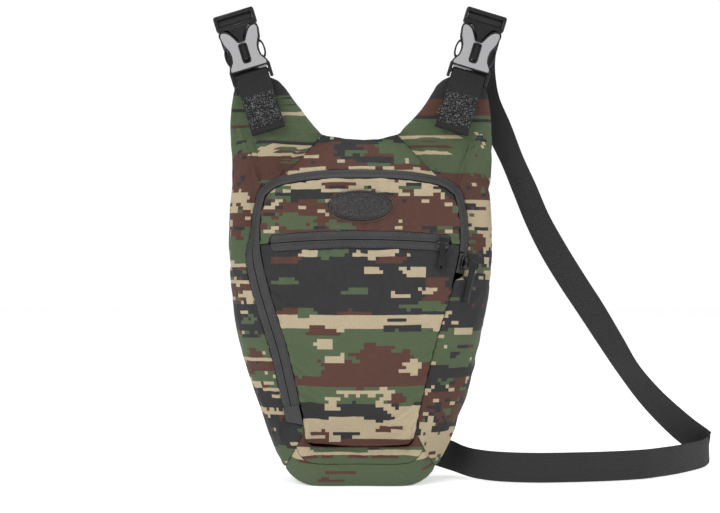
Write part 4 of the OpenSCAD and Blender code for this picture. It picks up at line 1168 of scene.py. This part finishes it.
def slab_part(outer, y0, y1, round_r, inner=None, centre=None, dish=0.0):
    """A plate with rounded edges between depths y0 and y1. Rings of the outline shrink towards
    its centre, or towards the hole's outline: a quarter turn of round_r takes the front into
    the side, the same behind. Without a hole the rings end in a pole. `dish` lifts the middle."""
    turn = np.linspace(0, np.pi / 2, 5)
    hole = inner is not None
    if not hole:
        pole = outer.mean(0) if centre is None else np.array(centre, float)
        inner = np.repeat(pole[None], len(outer), 0)
    gap = np.linalg.norm(inner - outer, axis=1, keepdims=True)
    inset = lambda d: outer + (inner - outer) * np.minimum(d / gap, 0.5 if hole else 1)
    inset_hole = lambda d: inner + (outer - inner) * np.minimum(d / gap, 0.5)
    sign = np.sign(y1 - y0)
    rings, depths = [], []
    steps = np.linspace(1, 0, 9)[:-1]
    if hole:
        for a in turn[::-1]:
            rings.append(inset_hole(round_r * (1 - np.sin(a))))
            depths.append(y0 + sign * round_r * (1 - np.cos(a)) + 0 * gap[:, 0])
        start = inset_hole(round_r)
    else:
        start = inner
    edge_ring = inset(round_r)
    for f in steps if not hole else steps[1:]:
        rings.append(edge_ring + (start - edge_ring) * f)
        depths.append(y0 - sign * dish * (1 - (1 - f) ** 2) + 0 * gap[:, 0])
    for a in turn:
        rings.append(inset(round_r * (1 - np.sin(a))))
        depths.append(y0 + sign * round_r * (1 - np.cos(a)) + 0 * gap[:, 0])
    for a in turn[::-1]:
        rings.append(inset(round_r * (1 - np.sin(a))))
        depths.append(y1 - sign * round_r * (1 - np.cos(a)) + 0 * gap[:, 0])
    for f in (steps[::-1] if not hole else steps[::-1][:-1]):
        rings.append(edge_ring + (start - edge_ring) * f)
        depths.append(y1 + 0 * gap[:, 0])
    if hole:
        for a in turn:
            rings.append(inset_hole(round_r * (1 - np.sin(a))))
            depths.append(y1 - sign * round_r * (1 - np.cos(a)) + 0 * gap[:, 0])
    rings, depths = np.stack(rings, 1), np.stack(depths, 1)
    return np.stack([rings[..., 0], depths, rings[..., 1]], -1), (True, hole)


def bar_part(a, b, half, power=0.35, sides=20):
    """A rounded bar from a to b with half sizes (across, through): a superellipse section,
    sign(cos) |cos|^power by the same of sin, drawn in at both ends on a quarter turn."""
    a, b = np.array(a, float), np.array(b, float)
    way = unit(b - a)
    guide = np.array([0, 1.0, 0]) if abs(way[1]) < 0.9 else np.array([1.0, 0, 0])
    side = unit(np.cross(guide, way))
    up = np.cross(way, side)
    turn = np.linspace(0, 2 * np.pi, sides * 2, endpoint=False)
    round_of = lambda v: np.sign(v) * np.abs(v) ** power
    ends = np.linspace(0, np.pi / 2, 6)
    long, r = np.linalg.norm(b - a), min(half) * 0.55
    at = np.concatenate([[0], r * (1 - np.cos(ends)), long - r * (1 - np.cos(ends[::-1])), [long]])
    size = np.concatenate([[-1], -(1 - np.sin(ends)), -(1 - np.sin(ends[::-1])), [-1]])
    rings = []
    for far, shrink in zip(at, size):
        u = max(half[0] + r * shrink, 0) if shrink > -1 else 0
        v = max(half[1] + r * shrink, 0) if shrink > -1 else 0
        rings.append(a + far * way + u * round_of(np.cos(turn))[:, None] * side
                     + v * round_of(np.sin(turn))[:, None] * up)
    return np.stack(rings), (False, True)


def mirror_x(half):
    """A whole outline from its right half, which starts and ends on the middle line."""
    return half + [(-x, z) for x, z in half[::-1]]


# outlines across and along the buckle: the socket's shell, the grey plate let into it and the
# window through both
SHELL = mirror_x([
    (0, 12), (17.6, 12), (17.6, 15.6), (13.6, 21.8), (12.8, 26.5), (13.4, 31.2), (16.8, 38.2), (18.2, 47),
    (16.4, 50.2), (11.6, 49.8), (8, 47), (5.6, 43.2), (3.5, 39.4), (2.6, 37.9), (0, 37.6),
])
PLATE = mirror_x([
    (0, 13.2), (16.2, 13.2), (16.2, 15.6), (12.4, 21.4), (11.6, 26.5), (12.2, 31.4), (15.6, 38.6),
    (16.9, 46), (15.5, 48.6), (12, 48.2), (9, 46), (6.6, 42.5), (4.5, 38.6), (3.4, 36.6), (0, 36.2),
])
WINDOW_LOOP = mirror_x([(0, 17.8), (2.3, 18.3), (2.9, 20.5), (2.9, 33.5), (2.3, 34.9), (0, 35.3)])
buckle_black, tree, shader = new_material("black acetal", (0.01, 0.01, 0.011), 0.28, Specular_IOR_Level=0.4)
place = object_place(tree)
fine = noise(tree, place, 2600, 2.0)
two_tones(tree, shader, noise(tree, place, 260, 3.0), (0.005, 0.005, 0.006), (0.014, 0.014, 0.015))
node_rough = maths(tree, "MULTIPLY_ADD", fine, 0.16, 0.2)
tree.links.new(node_rough, shader.inputs["Roughness"])
bump(tree, shader, fine, 0.00003)
buckle_grey, tree, shader = new_material("grey acetal", (0.42, 0.42, 0.43), 0.4)
place = object_place(tree)
fine = noise(tree, place, 2200, 3.0, 0.7)
two_tones(tree, shader, fine, (0.22, 0.22, 0.225), (0.42, 0.42, 0.43))
tree.links.new(maths(tree, "MULTIPLY_ADD", fine, 0.3, 0.22), shader.inputs["Roughness"])
bump(tree, shader, fine, 0.00006)

for side in ("left", "right"):
    place_on = on_horn(side)
    shell = rounded_loop(SHELL, 1.0)
    plate_centre = np.array([0, 26.5])
    angle = np.arctan2(shell[:, 0], shell[:, 1] - plate_centre[1])
    pocket = rounded_loop(PLATE, 0.9)
    window = rounded_loop(WINDOW_LOOP, 0.8)
    rays = np.arctan2(pocket[:, 0], pocket[:, 1] - plate_centre[1])
    hole = along_rays(window, plate_centre, rays)
    face = joined(side + "_socket_face", [slab_part(pocket, FACE_Y - 0.15, -4.2, 0.5, hole)], place_on)
    face.data.materials.append(buckle_grey)
    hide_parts(side + "_buckle_face")
    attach(face, "bag")
    frame_hole = along_rays(pocket, plate_centre, angle)
    back_hole = along_rays(window, plate_centre, angle)
    window_rim = plate_centre + (window - plate_centre) * np.array([1.38, 1.07])
    parts = [
        slab_part(shell, FACE_Y + 0.05, -3.9, 0.5, frame_hole),
        slab_part(window_rim, FACE_Y - 0.5, -4.6, 0.22, window),
        slab_part(shell, 3.7, 5.5, 0.6, back_hole),
        bar_part((-17.2, 0, 13), (17.2, 0, 13), (1.0, 3.8)),
        tube_part(np.stack([np.linspace(-18, 18, 20), np.zeros(20), ROLL_Z + np.zeros(20)], -1), 1.8, 20),
    ]
    for sign in (-1, 1):
        parts.append(bar_part((sign * 17.05, 0.2, 1.3), (sign * 17.05, 0.2, 14.6), (1.45, 3.9)))
        parts.append(bar_part((sign * 16.6, 0, 41.5), (sign * 17.0, 0, 49.2), (0.8, 4.2)))
        parts.append(bar_part((sign * 6.4, 2.6, 20), (sign * 6.4, 2.6, 32), (0.7, 1.6)))
    socket = joined(side + "_socket_shell", parts, place_on)
    socket.data.materials.append(buckle_black)
    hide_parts(side + "_buckle_socket")
    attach(socket, "bag")

    # the plug: a frame round the webbing slot, its body funnelling down between the ears
    rim = rounded_loop(mirror_x([(0, 50.4), (17.3, 50.4), (18.5, 52), (18.5, 63.4), (17.4, 65), (0, 65)]),
                       1.1)
    slot_loop = rounded_loop(mirror_x([(0, 54.2), (15.2, 54.2), (15.6, 55), (15.6, 60.6), (15.2, 61.1),
                                       (0, 61.1)]), 0.7)
    slot_centre = np.array([0, 57.6])
    rays = np.arctan2(rim[:, 0], rim[:, 1] - slot_centre[1])
    funnel = rounded_loop(mirror_x([(0, 51.5), (13, 51.5), (9.6, 50.6), (6.6, 47.4), (4.2, 43.6), (2, 39.4),
                                    (1.9, 21), (0, 20.4)][::-1]), 0.5)
    plug_parts = [
        slab_part(rim, -3.5, 3.5, 1.1, along_rays(slot_loop, slot_centre, rays)),
        slab_part(funnel, -4.4, 2.6, 0.6, centre=(0, 46)),
        bar_part((-14, -3.0, 62.9), (14, -3.0, 62.9), (1.3, 1.3)),
    ]
    plug = joined(side + "_plug_body", plug_parts, place_on)
    plug.data.materials.append(buckle_black)
    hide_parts(side + "_buckle_plug")
    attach(plug, side + "_plug")
    # the strap's end comes up through the slot and fills it
    turned = smooth_line(np.array([[0, 1.2, 53.4], [0, -0.4, 55], [0, -0.9, 57.6], [0, -0.4, 60.2],
                                   [0, 1.2, 62]]), 5)
    wrap = horn_ribbon(side + "_strap_loop", turned, 31, WEB_T, side)
    wrap.data.materials.append(webbing_black)
    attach(wrap, side + "_plug")
    for which, sign in (("outer", 1), ("inner", -1)):
        turn = np.linspace(0, 2 * np.pi, 90, endpoint=False)
        loop = np.stack([15.0 + 3.4 * np.sin(turn), 27 + 8.5 * np.cos(turn)], -1)
        eye = np.stack([15.0 + 1.9 * np.sin(turn), 27 + 6.2 * np.cos(turn)], -1)
        arm = rounded_loop([(10.8, 50.6), (14.4, 50.6), (14.6, 40), (15.4, 34), (12.6, 33.4), (11.0, 38)],
                           0.8)
        tip = rounded_loop([(14.6, 20.4), (12.3, 16.2), (10.2, 17.4), (12.6, 22.6)], 0.5)
        prong_parts = [slab_part(loop, -2.8, 2.8, 0.9, eye), slab_part(arm, -2.4, 2.4, 0.6),
                       slab_part(tip, -2.4, 2.4, 0.5)]
        flat = []
        for grid, ways in prong_parts:
            flat.append((grid * np.array([sign, 1, 1]), ways))
        prong = joined(side + "_" + which + "_prong_loop", flat, place_on)
        prong.data.materials.append(buckle_black)
        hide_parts(side + "_plug_" + which + "_prong")
        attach(prong, side + "_" + which + "_prong")

# the tabs: webbing up the horn's face, round the foot bar and down behind itself, its end
# folded under; the sewn part is covered by close zigzag stitching that stands up in beads
tab_web = webbing_material("tab webbing", (0.004, 0.004, 0.005), (0.036, 0.036, 0.038), 1.1, 0.0008)
bead_thread, tree, shader = new_material("beaded stitching", (0.01, 0.01, 0.01), 0.5, Specular_IOR_Level=0.3)
place = object_place(tree)
thread_glints_and_relief = noise(tree, place, 1000, 2.0, 0.6)
# painted glints: the light flecks on the black thread stand in for light catching it; the same noise raises
# the beads
tone = two_tones(tree, shader, thread_glints_and_relief, (0.002, 0.002, 0.002), (0.2, 0.2, 0.2))
tone.color_ramp.elements[0].position = 0.54
tone.color_ramp.elements[1].position = 0.66
bump(tree, shader, thread_glints_and_relief, 0.0004)
TAB_W = 30
TAB_LOW = -44.6
HEM_T = 1.2
turn = np.radians(np.linspace(-20, 200, 24))
bar_turn = np.stack([0 * turn, 3.1 * np.cos(turn), ROLL_Z + 3.1 * np.sin(turn)], -1)
path = np.vstack([
    [[0, -4.1, z] for z in np.linspace(-43, -9, 14)],
    [[0, -3.2, -5.5], [0, -0.8, -1.5], [0, 1.8, 1.8], [0, 2.8, 4.4]], bar_turn,
    [[0, -3.3, 4.2], [0, -3.6, 1.0], [0, -4.4, -3.0], [0, -5.1, -7.0]],
    [[0, -5.4, z] for z in np.linspace(-10, TAB_LOW, 22)],
])
for side in ("left", "right"):
    place_on = on_horn(side)
    line = smooth_line(path, 3)
    tab = horn_ribbon(side + "_horn_tab", line, TAB_W, WEB_T, side)
    tab.data.materials.append(tab_web)
    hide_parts(side + "_webbing_tab")
    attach(tab, "bag")
    x = np.linspace(-TAB_W / 2 + 0.7, TAB_W / 2 - 0.7, 130)[:, None]
    z = np.linspace(-10.5, TAB_LOW + 4.6, 140)[None, :]
    side_fade = np.clip((TAB_W / 2 - 0.7 - np.abs(x)) / 0.8, 0, 1)
    edge_fade = side_fade * np.clip(np.minimum(-10.5 - z, z - TAB_LOW - 4.6) / 0.8, 0, 1)
    spot = np.stack(np.broadcast_arrays(x, z, 0 * x), -1)
    zigzag = np.abs(np.sin(np.pi * (x + 0.6 * np.sin(z * 2.4)) / 1.15))
    beads = zigzag * np.abs(np.sin(np.pi * z / 1.5 + 0.9 * np.sin(x * 1.9)))
    lift = edge_fade * (0.12 + 0.55 * beads + 0.25 * waves(spot, 83, 2.6, 12)) - 0.12 * (1 - edge_fade)
    face_y = -5.4 - WEB_T / 2 - lift
    top = np.stack(np.broadcast_arrays(x, face_y, z), -1)
    way = np.array([0, 1.0, 0]) + 0 * top
    hem = [[0, -5.6, TAB_LOW + 4.4], [0, -6.3, TAB_LOW + 3.4], [0, -6.5, TAB_LOW + 1.8],
           [0, -6.1, TAB_LOW + 0.2], [0, -5.0, TAB_LOW - 0.5]]
    field = joined(side + "_tab_beading", [sheet_part(top, 0.7, way)], place_on, sharp=0)
    field.data.materials.append(bead_thread)
    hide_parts("tab_stitching")
    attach(field, "bag")
    hem_line = smooth_line(np.array(hem), 5)
    fold = horn_ribbon(side + "_tab_hem", hem_line, TAB_W + 0.4, HEM_T, side)
    fold.data.materials.append(tab_web)
    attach(fold, "bag")

# ------------------------------------------------------------------------ sliders and pulls
# Black lacquered sliders: a shield-shaped plate over and one under the coil, a bridge the
# pull's eye turns on. The main pull ends in a ridged knob with a long grip on its pin; the
# pocket's is a moulded tag with a round end.
BAR_Z = 4.2
GRIP_L = 33
HEAD_Z = 10.8
lacquer, tree, shader = new_material("black lacquer", (0.012, 0.012, 0.013), 0.16, Metallic=0.35,
                                     Coat_Weight=0.6, Coat_Roughness=0.08)
place = object_place(tree)
worn = noise(tree, place, 420, 4.0, 0.6)
two_tones(tree, shader, worn, (0.004, 0.004, 0.005), (0.016, 0.016, 0.018))
tree.links.new(maths(tree, "MULTIPLY_ADD", worn, 0.25, 0.08), shader.inputs["Roughness"])
rubber, tree, shader = new_material("black rubber", (0.01, 0.01, 0.01), 0.4, Specular_IOR_Level=0.3)
place = object_place(tree)
skin = noise(tree, place, 1900, 2.0)
two_tones(tree, shader, skin, (0.004, 0.004, 0.004), (0.016, 0.016, 0.017))
bump(tree, shader, skin, 0.00005)


def main_frame(p):
    """Takes a slider's own frame, x along the coil, y across and z out, to its parked place."""
    c = on_band(SLIDER, TAPE_W / 2, 0.0)
    return c + p[:, :1] * along(SLIDER) - p[:, 1:2] * band(SLIDER) + p[:, 2:] * band_normal(SLIDER)


def pocket_frame(p):
    x = np.array([POCKET_HALF - 6.6, POCKET_HALF - 6.1])
    y = EDGE_Y - crown_at(POCKET_Z + POCKET_RISE) * (1 - (x / ZIP_EDGE_X) ** 2)
    c = np.stack([x, y, pocket_line(x)], -1)
    a = unit(c[1] - c[0])
    n = unit(np.cross(a, [0, 0, 1.0]))
    return c[0] + p[:, :1] * a + p[:, 1:2] * np.cross(n, a) + p[:, 2:] * n


def upright_part(part):
    """Turns a plate made in x, depth, z so that its depth runs out of the tape."""
    grid, ways = part
    return grid[..., [0, 2, 1]] * np.array([1, 1, 1]), ways


def ring_part(radius, width, thick, x0=0.0, z0=BAR_Z):
    """An eye turning on x: a rounded rectangle, width along x by thick, carried round it."""
    a = np.linspace(0, 2 * np.pi, 40, endpoint=False)[:, None]
    t = np.linspace(0, 2 * np.pi, 16, endpoint=False)[None, :]
    round_of = lambda v: np.sign(v) * np.abs(v) ** 0.5
    r = radius + thick / 2 * round_of(np.cos(t))
    x = x0 + width / 2 * round_of(np.sin(t)) + 0 * a
    return np.stack([x, r * np.cos(a), z0 + r * np.sin(a)], -1), (True, True)


def slider_parts():
    shield = rounded_loop([(-5.2, -2.6), (-3.4, -4.6), (3.8, -4.7), (5.8, -3.4), (6.0, 0), (5.8, 3.4),
                           (3.8, 4.7), (-3.4, 4.6), (-5.2, 2.6), (-6, 0)], 0.8)
    over = upright_part(slab_part(shield, 1.95, 1.0, 0.4, dish=0.25))
    under = upright_part(slab_part(shield, -3.95, -2.5, 0.5))
    t = np.linspace(0, np.pi, 26)
    bridge = np.stack([-4.5 * np.cos(t), 0 * t, 1.2 + 3.2 * np.sin(t) ** 0.5], -1)
    parts = [over, under, tube_part(bridge, 0.82, 14), bar_part((-5.0, 0, 1.6), (5.0, 0, 1.6), (0.9, 0.5))]
    for sign in (-1, 1):
        parts.append(bar_part((-4.2, sign * 4.15, -1.9), (4.6, sign * 4.15, -1.9), (0.45, 0.6)))
    parts.append(bar_part((4.2, 0, -3.4), (4.2, 0, 1.0), (0.3, 1.4)))
    return parts


def ridged_part(radius, y0, y1, ridges, x0=0.0, z0=HEAD_Z):
    """A knob turning on y, its rim cut in ridges: radius (1 + 0.06 |cos|) round it, with
    rounded shoulders and a pole on each face."""
    a = np.linspace(0, 2 * np.pi, ridges * 8, endpoint=False)[:, None]
    f = np.array([0, 0.45, 0.72, 0.9, 0.98, 1.0, 1.0, 0.98, 0.9, 0.72, 0.45, 0])[None, :]
    lid = np.array([0.0, 0.0, 0.0, 0.02, 0.12, 0.3, 0.7, 0.88, 0.98, 1.0, 1.0, 1.0])[None, :]
    r = radius * f * (0.95 + 0.07 * np.abs(np.cos(a * ridges / 2)) * (f > 0.85))
    return np.stack([x0 + r * np.cos(a), mix(y0, y1, lid) + 0 * a, z0 + r * np.sin(a)], -1), (True, False)


for name, node_name, body, frame_of in (
    ("main_slider_body", "main_slider", "main_slider", main_frame),
    ("pocket_slider_body", "pocket_slider", "pocket_slider", pocket_frame),
):
    piece = joined(name, slider_parts(), frame_of)
    piece.data.materials.append(lacquer)
    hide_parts(node_name)
    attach(piece, body)
link = joined("main_pull_shackle", [
    ring_part(1.6, 4.4, 0.8),
    bar_part((0, 0, 5.7), (0, 0, 10.4), (1.45, 0.75)),
    tube_part(np.stack([np.zeros(8), np.linspace(-2.5, 2.5, 8), HEAD_Z + np.zeros(8)], -1), 1.0, 16),
], main_frame)
link.data.materials.append(lacquer)
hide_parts("main_pull_link")
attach(link, "main_link")
grip_ribs = [bar_part((-x, -1.9, HEAD_Z + 1.75), (-x, 1.9, HEAD_Z + 1.75), (0.42, 0.42))
             for x in np.arange(9, 29, 2.2)]
grip = joined("main_pull_knob", [
    ridged_part(4.15, 1.15, 2.75, 18), ridged_part(4.15, -2.75, -1.15, 18),
    bar_part((-3.2, 0, HEAD_Z), (-GRIP_L, 0, HEAD_Z), (2.6, 1.9), 0.5),
] + grip_ribs, main_frame)
grip.data.materials.append(rubber)
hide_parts("main_pull_grip")
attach(grip, "main_grip")
tag = rounded_loop([(-2.2, -1.4), (2.2, -1.4), (2.4, -12), (3.2, -14.5), (3.4, -21), (2.2, -24), (0, -24.6),
                    (-2.2, -24), (-3.4, -21), (-3.2, -14.5), (-2.4, -12)], 1.2)
tag_eye = np.array([[0, -20.6]]) + 1.3 * unit(tag - np.array([[0, -18.0]]))
tag_ribs = [bar_part((-1.9, -y, BAR_Z + 1.15), (1.9, -y, BAR_Z + 1.15), (0.35, 0.35))
            for y in np.arange(4.5, 15, 1.9)]
pull = joined("pocket_pull_tag", [
    ring_part(1.6, 4.4, 0.8), upright_part(slab_part(tag, BAR_Z + 1.1, BAR_Z - 1.1, 0.5, tag_eye)),
] + tag_ribs, pocket_frame)
pull.data.materials.append(rubber)
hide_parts("pocket_pull")
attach(pull, "pocket_pull")
for name in ("main_zip_stops", "pocket_zip_stops"):
    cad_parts[name].data.materials.clear()
    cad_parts[name].data.materials.append(lacquer)

# --------------------------------------------------------------------------------- the back
# The side that rests on the wearer: spacer mesh over foam, quilted into raised pads by sewn
# channels, with piping round its edge and the straps' lower ends tacked to its low corners.
air_mesh, tree, shader = new_material("air mesh", (0.03, 0.03, 0.03), 0.75, Sheen_Weight=0.2)
place = node(tree, "UVMap", uv_map="cloth")
cells = tree.nodes.new("ShaderNodeTexVoronoi")
cells.feature = "DISTANCE_TO_EDGE"
cells.inputs["Scale"].default_value = 0.42
cells.inputs["Randomness"].default_value = 0.25
tree.links.new(place, cells.inputs["Vector"])
holes = maths(tree, "SMOOTH_MIN", cells.outputs["Distance"], 0.28, 0.1)
hole_depth_and_shade = maths(tree, "MULTIPLY", holes, 3.2)
# painted shade: the holes between the yarns are coloured darker than the yarns, which stand higher in the
# relief
tone = two_tones(tree, shader, maths(tree, "MULTIPLY_ADD", noise(tree, place, 2.2, 2.0), 0.25,
                                     maths(tree, "MULTIPLY", hole_depth_and_shade, 0.8)),
                 (0.055, 0.055, 0.057), (0.010, 0.010, 0.010))
bump(tree, shader, maths(tree, "SUBTRACT", 1.0, hole_depth_and_shade), 0.0009)
BACK_CENTRE = np.array([0, 180.0])
rim_s = np.linspace(0, 2 * LAST, 600, endpoint=False)
rim_point = wall(rim_s, 2.0 + 0 * rim_s)
rim_out = outline_out(rim_s)
low_turn = 1.5 * (1 - ease(station(rim_s)[..., 3] / 20))
rim = rim_point[:, [0, 2]] - (2.4 + 1.2 * low_turn)[:, None] * rim_out[:, [0, 2]]
f = np.concatenate([np.linspace(0, 0.9, 70), np.linspace(0.9, 1, 12)[1:]])[None, :]
x = BACK_CENTRE[0] + (rim[:, :1] - BACK_CENTRE[0]) * f
z = BACK_CENTRE[1] + (rim[:, 1:] - BACK_CENTRE[1]) * f
depth_in = np.linalg.norm(rim - BACK_CENTRE, axis=1, keepdims=True) * (1 - f)


def channel(distance, half=2.6):
    return np.exp(-((distance / half) ** 2))


groove = np.maximum.reduce([channel(np.abs(x) - 9 - 0.03 * np.abs(z - 150))]
                           + [channel(z + 0.18 * np.abs(x) - h) * (np.abs(x) > 9)
                              for h in (70, 125, 180, 235, 285)])
pad = 5.2 * (1 - np.exp(-depth_in / 9)) * (1 - 0.75 * groove)
pad = pad + 0.35 * waves(np.stack([x, z, 0 * x], -1), 91, 30, 7) * (1 - np.exp(-depth_in / 14))
outside = np.stack([x, 24.6 + 1.0 + pad, z], -1)
inside = np.stack([x, 24.5 + 0 * x, z], -1)
loop = np.concatenate([outside, inside[:, ::-1]], 1)
uv = np.stack([loop[..., 0], loop[..., 2]], -1)
back_pad = grid_mesh("back_pad", loop, uv, closed=(True, False), flip=True)
back_pad.data.materials.append(air_mesh)
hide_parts("back_mesh")
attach(back_pad, "bag")
binding_tape = webbing_material("binding", (0.012, 0.012, 0.012), (0.045, 0.045, 0.046), 0.9, 0.0003)
piping_line = rim_point + np.array([0, 1.9, 0]) + (0.6 - 1.5 * low_turn)[:, None] * rim_out
grid, ways = tube_part(piping_line, 1.5, 14, loop=True)
far = girth(piping_line[:, None], 0)
around = np.linspace(0, 9.4, 14)[None, :]
piping = grid_mesh("back_piping", grid, np.stack(np.broadcast_arrays(around, far), -1), closed=(True, True))
piping.data.materials.append(binding_tape)
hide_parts("edge_piping")
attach(piping, "bag")
seam_line = np.stack([rim[:, 0], 25.9 + 0 * rim[:, 0], rim[:, 1]], -1) - 2.2 * rim_out
back_seam = joined("back_stitches", stitches(seam_line, np.array([0, 1.0, 0]), 4.0), sharp=0)
back_seam.data.materials.append(black_thread)
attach(back_seam, "bag")
anchors = []
for sign in (-1, 1):
    a = math.radians(20) * sign
    axis = np.array([math.cos(a), 0, -math.sin(a)])
    centre = np.array([sign * 55, 29.2, 26.0]) + 2.0 * np.array([math.sin(a), 0, math.cos(a)])
    anchors.append(bar_part(centre - 13 * axis, centre + 13 * axis, (6.0, 0.75), 0.3))
anchor = joined("strap_tacks", anchors)
anchor.data.materials.append(bead_thread)
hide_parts("strap_anchors")
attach(anchor, "bag")
foam_cloth, tree, shader = new_material("grey foam", (0.12, 0.12, 0.12), 0.85)
place = object_place(tree)
pores = noise(tree, place, 1300, 3.0)
two_tones(tree, shader, pores, (0.07, 0.07, 0.072), (0.2, 0.2, 0.205))
bump(tree, shader, pores, 0.0004)
hard_board, tree, shader = new_material("board", (0.03, 0.03, 0.03), 0.5)
place = object_place(tree)
two_tones(tree, shader, noise(tree, place, 600, 3.0), (0.018, 0.018, 0.018), (0.05, 0.05, 0.05))
bound_edge, tree, shader = new_material("bound edge", (0.02, 0.02, 0.02), 0.6, Sheen_Weight=0.2)
place = object_place(tree)
ribs = node(tree, "TexWave", place)
tree.nodes["Wave Texture"].inputs["Scale"].default_value = 260
two_tones(tree, shader, ribs, (0.012, 0.012, 0.012), (0.045, 0.045, 0.045))
for name, finish in (("back_foam", foam_cloth), ("left_horn_foam", foam_cloth),
                     ("right_horn_foam", foam_cloth),
                     ("base_board", hard_board), ("inner_pocket_binding", bound_edge)):
    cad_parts[name].data.materials.clear()
    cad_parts[name].data.materials.append(finish)
